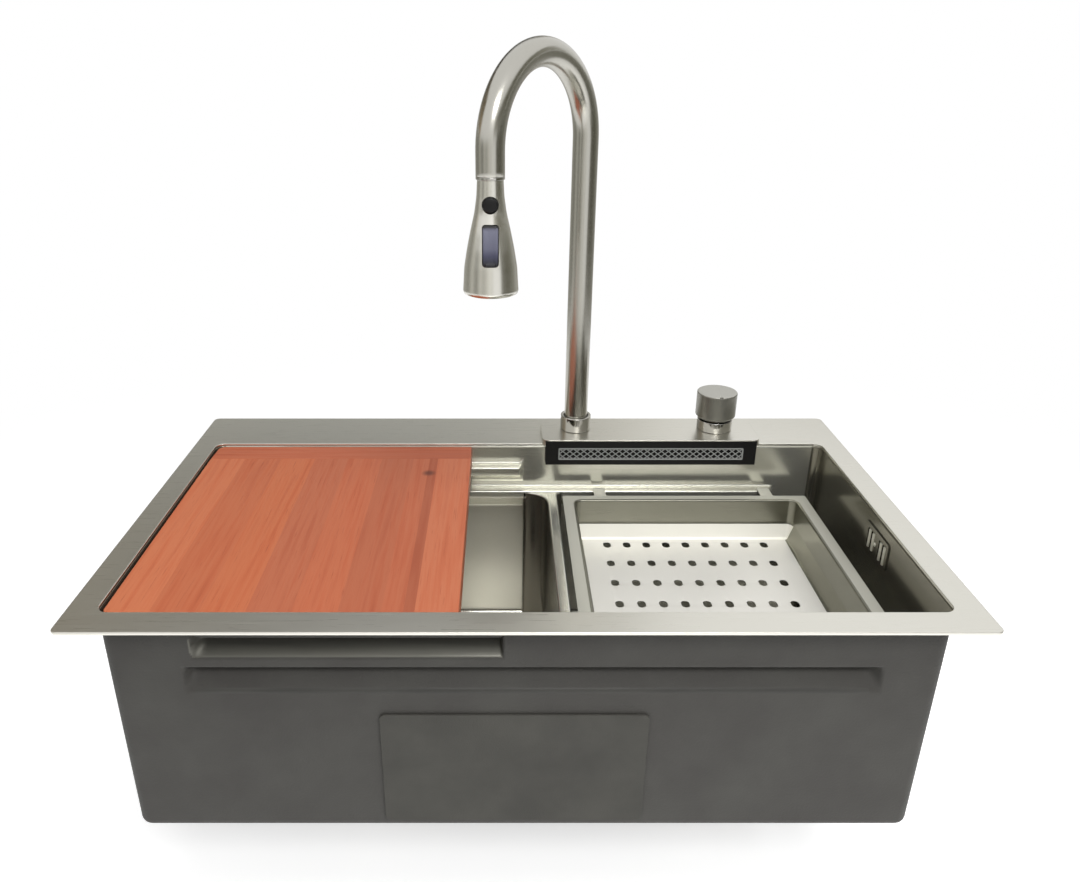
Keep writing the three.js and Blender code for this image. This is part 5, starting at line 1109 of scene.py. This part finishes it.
class KITCHENSINK_OT_tray(bpy.types.Operator):
    """Adds the folded and punched drain tray that hangs by its ears"""

    bl_idname = "kitchen_sink.tray"
    bl_label = "Drain Tray"

    def execute(self, context):
        sheet, half_ear = 1.2, 7
        (left, ear_front, bottom), (right, ear_rear, top) = box_mm("drain_tray")
        front, rear = -171.0, 119.0

        def ears(edge, tip, way):
            """Corners of both ears on one edge; way is 1 where the outline runs along X, -1 where it runs back."""
            sides = ((x - way * half_ear, x + way * half_ear) for x in (97.5, 297.5)[::way])
            return [corner for a, b in sides for corner in ((a, edge), (a, tip), (b, tip), (b, edge))]

        outline = rounded([
            (left, front), *ears(front, ear_front, 1), (right, front), (right, rear), *ears(rear, ear_rear, -1),
            (left, rear)], 2.5, 4)
        # The walls stand inside this rectangle, and a foot 19 mm high leans in by 6 mm below them
        wall_left, wall_right, wall_front, wall_rear = 67.0, 328.0, -159.0, 107.0
        floor_top = bottom + sheet
        profile = rounded([(-3, top), (0, top), (0, floor_top + 19), (6, floor_top), (9, floor_top)],
                          [0, 2.4, 2, 2.2, 0], 5, closed=False)
        loops = [
            round_rectangle(
                wall_left + draw, wall_right - draw, wall_front + draw, wall_rear - draw, max(8 - draw, 1.5))
            for draw in profile[:, 0]]
        columns, rows = 197.5 + 23.3 * (np.arange(9) - 4), 86 - 41 * np.arange(6)
        holes = [round_rectangle(x - 4.5, x + 4.5, y - 6.5, y + 6.5, 4.49, 5) for y in rows for x in columns]
        walls = stacked(loops, profile[:, 1])
        corners = walls.points[walls.faces]
        # Only the foot at the rear, which faces the front, takes the palest copy: painted highlight
        lit_rear_foot = (corners[..., 2].min(axis=1) < floor_top + 14) & (corners[..., 1].min(axis=1) > wall_rear - 10)
        # The sheet's finishes in pairs, above and below: walls, a darker copy as painted shade; rear foot, the
        # palest copy as a painted highlight; floor and rim, paler copies as painted light
        pairs = [one for shown in ("steel", "foot", "floor", "rim") for one in (f"tray_{shown}", "tray_steel")]
        make("drain_tray_sheet", [
            filled([outline, loops[0]], top, 6), walls._replace(finish=2 * lit_rear_foot),
            filled([loops[-1]] + holes, floor_top, 4),
        ], pairs, "tray", "drain_tray", toward=(197, -26, 4000), solid=sheet)
        return {"FINISHED"}


def lattice_bars(left, right, bottom, top, front, cells, rows):
    """Crossed bars: each is a thin six-sided rod from corner to corner of a cell, on both diagonals."""
    width, height = (right - left) / cells, (top - bottom) / rows
    column, row = np.meshgrid(np.arange(cells), np.arange(rows))
    x, z = (left + column * width).ravel(), (bottom + row * height).ravel()
    turn = np.linspace(0, 2 * np.pi, 7)[None, :, None]
    bars = []
    for lean, depth in ((0, 0.35), (1, 0.55)):
        start, end = (
            np.stack([x + side * width, np.full(x.shape, front + depth), z + rise], axis=-1)
            for side, rise in ((lean, 0), (1 - lean, height)))
        across = np.cross(unit(end - start), [0, 1, 0])
        ring = 0.62 * (np.cos(turn) * across[:, None] + np.sin(turn) * np.array([0, 1, 0]))
        points = np.stack([start[:, None] + ring, end[:, None] + ring], axis=1)
        bars += [grid(bar) for bar in points]
    return bars


class KITCHENSINK_OT_tap_plate(bpy.types.Operator):
    """Adds the tap plate with the waterfall outlet under it and the outlet's crossed grille"""

    bl_idname = "kitchen_sink.tap_plate"
    bl_label = "Tap Plate and Waterfall"

    def execute(self, context):
        eased_copy("tap_plate", "tap_plate_cover", "brushed_steel", 0.6)
        eased_copy("waterfall_outlet", "waterfall_body", "black_plastic", 0.5)
        low, high = box_mm("waterfall_grille")
        bars = lattice_bars(low[0] + 0.7, high[0] - 0.7, low[2] + 0.7, high[2] - 0.7, low[1] + 0.3, 26, 2)
        outer = round_rectangle(low[0], high[0], low[2], high[2], 1.5)
        inner = round_rectangle(low[0] + 1.4, high[0] - 1.4, low[2] + 1.4, high[2] - 1.4, 0.6)
        border = recast(filled([outer, inner], 0), lambda x, y, z: (x, low[1] - z, y))
        make("grille_frame", [border], "grille_grey", "sink", "waterfall_grille",
             toward=(158, -9000, 0), solid=1.2, clean=True)
        make("grille_bars", bars, "grille_grey", "sink")
        return {"FINISHED"}


class KITCHENSINK_OT_spout(bpy.types.Operator):
    """Adds the riser's collar, shank, washer and nut and the gooseneck pipe, and gives the hose inside it its
    rubber
    """

    bl_idname = "kitchen_sink.spout"
    bl_label = "Gooseneck and Riser"

    def execute(self, context):
        make_ring("riser_ring", "riser_collar", "polished_steel", "sink", RISER, 14.8, 18.5, soft=1.0)
        low, high = box_mm("riser_shank")
        make("riser_thread", threads(RISER, 16, 0.9, 2.0, low[2], high[2], 12), "brass", "sink", "riser_shank")
        eased_copy("riser_washer", "riser_flat_washer", "rubber", 0.3)
        eased_copy("riser_nut", "riser_hex_nut", "brass", 0.6)
        # The neck rises straight to its spring, bends round half a turn and falls straight to its tip
        foot, spring, tip, radius, yaw = 13.6, 352, 330, 86, math.radians(-126.2)
        away, up = np.array([math.cos(yaw), math.sin(yaw), 0]), np.array([0, 0, 1])
        base = np.array([*RISER, 0])
        turn = np.linspace(np.pi, 0, 57)[:, None]
        path = np.vstack([
            base + up * np.linspace(foot, spring, 24, endpoint=False)[:, None],
            base + away * (radius + radius * np.cos(turn)) + up * (spring + radius * np.sin(turn)),
            base + away * 2 * radius + up * np.linspace(spring, tip, 5)[1:, None]])
        sides = context.scene.sink_sizes.tube_sides
        make("gooseneck_tube", pipe(path, 14, 12, sides), "tap_steel", "spout", "gooseneck")
        hose = frame["nodes"]["neck_hose"].data
        hose.materials.clear()
        hose.materials.append(finish("rubber"))
        return {"FINISHED"}


def head_radius(share):
    """Radius of the head at shares of its length from the bottom: a trumpet drawn smoothly through its sizes.

    The line through the sizes is averaged over a short window, apart from its two ends.
    """
    places = [0, 0.03, 0.24, 0.4, 0.56, 0.72, 0.86, 1]
    radii = np.array([0.965, 1, 0.95, 0.845, 0.715, 0.566, 0.488, 0.462]) * 27.5
    fine = np.linspace(0, 1, 201)
    line = np.interp(fine, places, radii)
    window = np.hanning(23)[1:-1]
    smooth = np.convolve(np.pad(line, 10, mode="edge"), window / window.sum(), mode="valid")
    blend = np.clip((fine - 0.1) / 0.1, 0, 1) * np.clip((1 - fine) / 0.06, 0, 1)
    return np.interp(share, fine, smooth * blend + line * (1 - blend))


class KITCHENSINK_OT_spray_head(bpy.types.Operator):
    """Adds the pull-out spray head with its seam ring, hose, face, pause button and rocker"""

    bl_idname = "kitchen_sink.spray_head"
    bl_label = "Spray Head"

    def execute(self, context):
        wall, mouth, bottom, top = 2, 22.3, HEAD_BOTTOM, HEAD_TOP
        share = np.linspace(0.03, 1, 56)
        outside = np.column_stack([head_radius(share), bottom + share * (top - bottom)])
        inside = (outside - [wall, 0])[4:-1][::-1]
        profile = np.vstack([
            [(mouth, bottom), (25.4, bottom), (26.8, bottom + 0.9)], outside,
            [(outside[-1, 0] - wall, top)], inside, [(mouth, bottom + 11), (mouth, bottom)]])
        shell = make("spray_shell", [lathe(profile, HEAD, 96)], "head_steel", "spray", "spray_head")
        low, high = box_mm("pause_button")
        middle = (low[2] + high[2]) / 2
        hole = lathe(band(0, 8.1, 0, 40), (0, 0), 48)
        cut_out(shell, [recast(hole, lambda x, y, z: (HEAD[0] + x, HEAD[1] - z, middle + y))], "button_cutter")
        low, high = box_mm("mode_rocker")
        window = round_rectangle(low[0] - 0.6, high[0] + 0.6, low[2] - 0.6, high[2] + 0.6, 3.4)
        block = slab(window, 0, 40, 0.01, 1)
        cut_out(shell, [recast(side, lambda x, y, z: (x, HEAD[1] - z, y)) for side in block], "rocker_cutter")
        keep_edges(shell)
        self.add_button(middle)
        self.add_rocker(low, high)
        self.add_face()
        self.add_hose()
        return {"FINISHED"}

    def add_button(self, middle):
        """The pause button: a shallow dome, height = rise - 0.9 (r / radius)^2 on a short cylinder."""
        low, high = box_mm("pause_button")
        radius, rise = (high[0] - low[0]) / 2, high[1] - low[1]
        across = np.linspace(0, radius - 0.8, 8)
        dome = np.column_stack([across, rise - 0.9 * (across / radius) ** 2])
        cap = lathe(np.vstack([dome, [(radius, rise - 1.8), (radius, 0), (0, 0)]]), (0, 0), 48)
        make("pause_cap", [recast(cap, lambda x, y, z: (HEAD[0] + x, high[1] - z, middle + y))], "black_plastic",
             "pause_button", "pause_button")

    def add_rocker(self, low, high):
        """The rocker: a rounded pad whose face follows the head and dips a little in its middle.

        Depth = line between its ends + dip * sin(pi share), drawn in at its edges by a quarter circle.
        """
        proud, dip = 2.5, 0.5
        outline = round_rectangle(low[0], high[0], low[2], high[2], 3)
        ends = (np.array([low[2], high[2]]) - HEAD_BOTTOM) / (HEAD_TOP - HEAD_BOTTOM)
        edge_low, edge_high = HEAD[1] - head_radius(ends) - proud
        loops = []
        for draw, sink in ((0, 7), (0, 1.2), (0.4, 0.45), (1.2, 0.0), (3.0, 0.15), (5.0, 0.45)):
            loop = inset(outline, draw)
            place = (loop[:, 1] - low[2]) / (high[2] - low[2])
            hollow = dip * np.sin(np.pi * place) if draw > 1 else 0
            depth = edge_low + (edge_high - edge_low) * place + sink + hollow
            loops.append(np.column_stack([loop[:, 0], depth, loop[:, 1]]))
        closed = np.stack([np.vstack([loop, loop[:1]]) for loop in loops])
        caps = [
            grid(np.stack(np.broadcast_arrays(closed[row], loops[row].mean(0)))) for row in (-1, 0)]
        make("spray_rocker", [grid(closed)] + caps, "rocker", "mode_rocker", "mode_rocker")

    def add_face(self):
        """The spray face: a disc with rings of soft nozzles, each a small cone."""
        low, high = box_mm("spray_face")
        disc = turned(band(0, 22, low[2] + 1, high[2]), HEAD, 64, 0.5)
        cone = [(0, low[2]), (0.9, low[2]), (1.5, low[2] + 1.2), (0, low[2] + 1.2)]
        nozzles = [
            lathe(cone, place, 10)
            for radius, count in ((6, 6), (12, 12), (17.5, 18)) for place in circle(HEAD, radius, count)]
        make("spray_plate", [disc] + nozzles, "grey_plastic", "spray", "spray_face")

    def add_hose(self):
        """The seam ring and its stem, and the braided hose that stretches out of the spout."""
        low, high = box_mm("hose_dock")
        ring = [(4, low[2]), (14, low[2]), (14, low[2] + 2.7), (10.5, low[2] + 2.7), (10.5, high[2]), (4, high[2])]
        make("seam_ring", [turned(ring, HEAD, 64, 0.4)], "polished_steel", "hose_end", "hose_dock")
        low, high = box_mm("spray_hose")
        path = straight_path(*HEAD, (low[2], high[2]), 12)
        hose = make("pull_out_hose", pipe(path, 7, 4, 32), "braid", None, "spray_hose")
        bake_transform(hose)


class KITCHENSINK_OT_knob(bpy.types.Operator):
    """Adds the mixer knob with its pointer, its collar, and the valve and water inlets below"""

    bl_idname = "kitchen_sink.knob"
    bl_label = "Knob and Mixing Valve"

    def execute(self, context):
        low, high = box_mm("knob")
        bottom, top = low[2], high[2]
        outline = [
            (6.3, bottom), (9.3, bottom), (9.3, top - 3), (17.5, top - 3), (17.5, bottom), (20.5, bottom),
            (24, bottom + 3.5), (24, top - 1), (23, top), (0, top), (0, bottom + 14.3), (6.3, bottom + 14.3)]
        shell = turned(outline, KNOB, 128, np.array([0.3, 0.3, 1, 1, 0.5, 0.5, 0.7, 0.8, 0.8, 0, 0, 0.3]))
        # The knob's top face takes the paler finish: painted light
        lit_top_faces = shell.points[shell.faces].min(axis=1)[:, 2] > top - 0.6
        knob = make("mixer_knob", [shell._replace(finish=1 * lit_top_faces)], ["knob_grey", "knob_top"], "knob", "knob")
        wedge = KNOB + np.array([(-3, -26), (3, -26), (0, -19.5)])
        cut_out(knob, slab(wedge, top - 1.5, top + 3, 0.005, 1), "pointer_cutter")
        keep_edges(knob)
        make_ring("knob_ring", "knob_collar", "polished_steel", "sink", KNOB, 16.3, 21, soft=0.8)
        make_ring("valve_spindle", "valve_stem", "brass", "stem", KNOB, 0, 6, 32)
        low, high = box_mm("valve_cartridge")
        valve = [(0, low[2]), (16, low[2]), (16, high[2] - 3), (14.5, high[2]), (0, high[2])]
        make("valve_body", [turned(valve, KNOB, 64)], "brass", "sink", "valve_cartridge")
        eased_copy("valve_washer", "valve_flat_washer", "rubber", 0.3)
        eased_copy("valve_nut", "valve_hex_nut", "brass", 0.6)
        low, high = box_mm("mixer_body")
        body = [
            (0, low[2]), (22, low[2]), (22, low[2] + 14), (20.8, low[2] + 16), (22, low[2] + 18), (22, high[2]),
            (0, high[2])]
        make("mixer_casting", [turned(body, KNOB, 64, 1.4)], "brass", "sink", "mixer_body")
        for side in ("cold", "hot"):
            low, high = box_mm(f"{side}_inlet")
            inlet = threads(middle_mm(f"{side}_inlet"), 10, 0.8, 1.8, low[2], high[2], 6, 48)
            make(f"{side}_thread", inlet, "brass", "sink", f"{side}_inlet")
        return {"FINISHED"}


# ---- Studio -----------------------------------------------------------------------------------------


def seen_rays(tree):
    """1 for rays from the camera, in reflections and through glass, else 0."""
    path = add_node(tree, "LightPath")
    seen = path["Is Camera Ray"]
    for further in ("Is Glossy Ray", "Is Transmission Ray"):
        seen = add_node(tree, "Math", {0: seen, 1: path[further]}, operation="MAXIMUM")[0]
    return seen


def studio_floor_material(colour):
    """Matt paper sweep: pale near the part, where it keeps the shadow, and white like the surroundings far off."""
    material, tree, shader = new_material("paper_sweep", colour, roughness=0.9, Specular_IOR_Level=0.1)
    seen = seen_rays(tree)
    glow, none, white = (
        add_node(tree, "Emission", {"Color": (1, 1, 1, 1), "Strength": strength})[0]
        for strength in (0.6, 0.0, 1.0))
    lift = add_node(tree, "MixShader", {0: seen, 1: none, 2: glow})[0]
    near = add_node(tree, "AddShader", {0: shader.outputs[0], 1: lift})[0]
    place = add_node(tree, "TexCoord")["Object"]
    away = add_node(tree, "VectorMath", {0: place}, operation="LENGTH")["Value"]
    far = add_node(tree, "MapRange", {
        "Value": away, "From Min": 0.7, "From Max": 1.8}, interpolation_type="SMOOTHSTEP")["Result"]
    share = add_node(tree, "Math", {0: far, 1: seen}, operation="MULTIPLY")[0]
    total = add_node(tree, "MixShader", {0: share, 1: near, 2: white})[0]
    feed(tree, tree.nodes["Material Output"], {"Surface": total})
    return material


def add_lamp(name, place, aim, size, power, seen_in_metal=True):
    """A rectangular soft lamp at a place, turned towards a point; size is (width, height) in metres."""
    lamp = bpy.data.lights.new(name, "AREA")
    lamp.shape = "RECTANGLE"
    lamp.size, lamp.size_y = size
    lamp.energy = power
    holder = new_object(name, lamp)
    holder.location = place
    holder.rotation_euler = (Vector(aim) - Vector(place)).to_track_quat("-Z", "Y").to_euler()
    holder.visible_glossy = seen_in_metal


def add_card(name, foot, top, tones, away=1.9):
    """A curved card that stands round the part and shows only in its metal, as a photographer sets it.

    tones are (azimuth, hex colour) stops across the card, in degrees from +Y towards +X.
    Points: away * (sin turn, cos turn) for turn across the card, at the heights foot and top.
    """
    first, last = tones[0][0], tones[-1][0]
    share = np.linspace(0, 1, 33)
    turn = np.radians(first + (last - first) * share)
    around = np.stack([away * np.sin(turn), away * np.cos(turn)], axis=-1) / MM
    uv = np.stack(np.broadcast_arrays(share[None], np.array([[0.0], [1.0]])), axis=-1)
    points = np.stack([np.column_stack([around, np.full(33, z / MM)]) for z in (foot, top)])
    material = bpy.data.materials.new(name + "_felt")
    material.use_nodes = True
    tree = material.node_tree
    tree.nodes.clear()
    place = add_node(tree, "TexCoord")["UV"]
    along = add_node(tree, "SeparateXYZ", {"Vector": place})["X"]
    stops = [((azimuth - first) / (last - first), tone) for azimuth, tone in tones]
    colour = add_node(tree, "ValToRGB", {"Fac": along}, stops)["Color"]
    glow = add_node(tree, "Emission", {"Color": colour})[0]
    add_node(tree, "OutputMaterial", {"Surface": glow})
    card = new_object(name, new_mesh(name, [grid(points, uv)]))
    card.data.materials.append(material)
    for rays in ("camera", "diffuse", "shadow", "transmission"):
        setattr(card, f"visible_{rays}", False)


def light_world():
    """White to the eye and in reflections, softer as a light on the part."""
    world = bpy.data.worlds.new("studio")
    world.use_nodes = True
    bpy.context.scene.world = world
    tree = world.node_tree
    strength = add_node(tree, "MapRange", {"Value": seen_rays(tree), "To Min": 0.3, "To Max": 1.0})["Result"]
    feed(tree, tree.nodes["Background"], {"Color": (1, 1, 1, 1), "Strength": strength})


class KITCHENSINK_OT_stage(bpy.types.Operator):
    """Adds the camera, the pale floor, the soft lamps, the cards and the white surroundings"""

    bl_idname = "kitchen_sink.stage"
    bl_label = "Studio"

    def execute(self, context):
        scene = context.scene
        camera = bpy.data.cameras.new("camera")
        camera.sensor_width = 36
        camera.lens = 29.37
        camera.shift_x = 0.0352
        scene.camera = new_object("camera", camera)
        scene.camera.location = (-0.0205, -0.8231, 0.4357)
        scene.camera.rotation_euler = (math.radians(66.28), 0, 0)
        scene.view_settings.view_transform = "Standard"
        bottom, reach = CAD_BOX[0][2], 30
        mesh = bpy.data.meshes.new("floor")
        corners = [(-reach, -reach), (reach, -reach), (reach, reach), (-reach, reach)]
        mesh.from_pydata([(x, y, bottom) for x, y in corners], [], [(0, 1, 2, 3)])
        mesh.materials.append(studio_floor_material(list(scene.sink_colours.floor) + [1.0]))
        new_object("floor", mesh)
        light_world()
        add_lamp("top_lamp", (0.25, -0.6, 1.9), (0.05, -0.1, 0), (1.5, 1.0), scene.sink_sizes.lamp_power, False)
        add_lamp("front_lamp", (0.35, -1.75, 1.7), (0.05, 0, -0.1), (0.9, 0.5), 17)
        add_lamp("right_lamp", (1.3, -1.3, 1.2), (0.3, -0.2, -0.15), (0.4, 0.4), 9, False)
        add_card("card_rim_low", 0.6, 1.05, [
            (-90, "#b09c7e"), (-50, "#8f8676"), (-25, "#888986"), (-10, "#9d9e9c"), (0, "#abaca9"), (9, "#cbc9c4"),
            (16, "#f4f3f0")])
        add_card("card_rim_high", 1.05, 1.8, [
            (-90, "#8a7c66"), (-50, "#6c6454"), (-25, "#4e4a43"), (-10, "#504d47"), (0, "#56534c"), (9, "#96938b"),
            (16, "#f4f3f0")])
        add_card("card_right", 0.6, 1.2, [(62, "#9a988c"), (85, "#6e6c5c"), (140, "#6e6c5c"), (160, "#a8a69a")])
        add_card("card_neck", bottom, 0.55, [
            (-178, "#f4f3ee"), (-162, "#d2d1ca"), (-150, "#b4b3ac"), (-134, "#d4d3cc"), (-116, "#85847c"),
            (-94, "#c9c8c1"), (-72, "#8f8e86"), (-20, "#b9b8b2"), (10, "#c8c7c2"), (48, "#a9a8a2"), (70, "#85847a"),
            (100, "#626055"), (132, "#6e6c62"), (138, "#ffffff"), (168, "#ffffff"), (174, "#dddcd6"),
            (182, "#f4f3ee")])
        return {"FINISHED"}


OPERATORS = (
    KITCHENSINK_OT_stage, KITCHENSINK_OT_rim, KITCHENSINK_OT_tub, KITCHENSINK_OT_divider, KITCHENSINK_OT_overflow,
    KITCHENSINK_OT_sound_pads, KITCHENSINK_OT_drains, KITCHENSINK_OT_strainers, KITCHENSINK_OT_board,
    KITCHENSINK_OT_tray, KITCHENSINK_OT_tap_plate, KITCHENSINK_OT_spout, KITCHENSINK_OT_spray_head,
    KITCHENSINK_OT_knob,
)


class KITCHENSINK_PT_panel(bpy.types.Panel):
    """Lists the sizes, the colours and a button for each piece"""

    bl_idname = "KITCHENSINK_PT_panel"
    bl_label = "Kitchen Sink"
    bl_space_type = "VIEW_3D"
    bl_region_type = "UI"
    bl_category = "Kitchen Sink"

    def draw(self, context):
        layout = self.layout
        for group in (context.scene.sink_sizes, context.scene.sink_colours):
            column = layout.column(align=True)
            for name in group.__annotations__:
                column.prop(group, name)
        for operator in OPERATORS:
            layout.operator(operator.bl_idname)


CLASSES = (SinkSizes, SinkColours) + OPERATORS + (KITCHENSINK_PT_panel,)


def register():
    """Registers the classes and hangs the two groups of properties on the scene."""
    for item in CLASSES:
        bpy.utils.register_class(item)
    bpy.types.Scene.sink_sizes = bpy.props.PointerProperty(type=SinkSizes)
    bpy.types.Scene.sink_colours = bpy.props.PointerProperty(type=SinkColours)


def unregister():
    """Takes away what register adds."""
    del bpy.types.Scene.sink_colours
    del bpy.types.Scene.sink_sizes
    for item in reversed(CLASSES):
        bpy.utils.unregister_class(item)


def main():
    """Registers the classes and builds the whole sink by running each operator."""
    register()
    for operator in OPERATORS:
        group, name = operator.bl_idname.split(".")
        getattr(getattr(bpy.ops, group), name)()


if __name__ == "__main__":
    main()
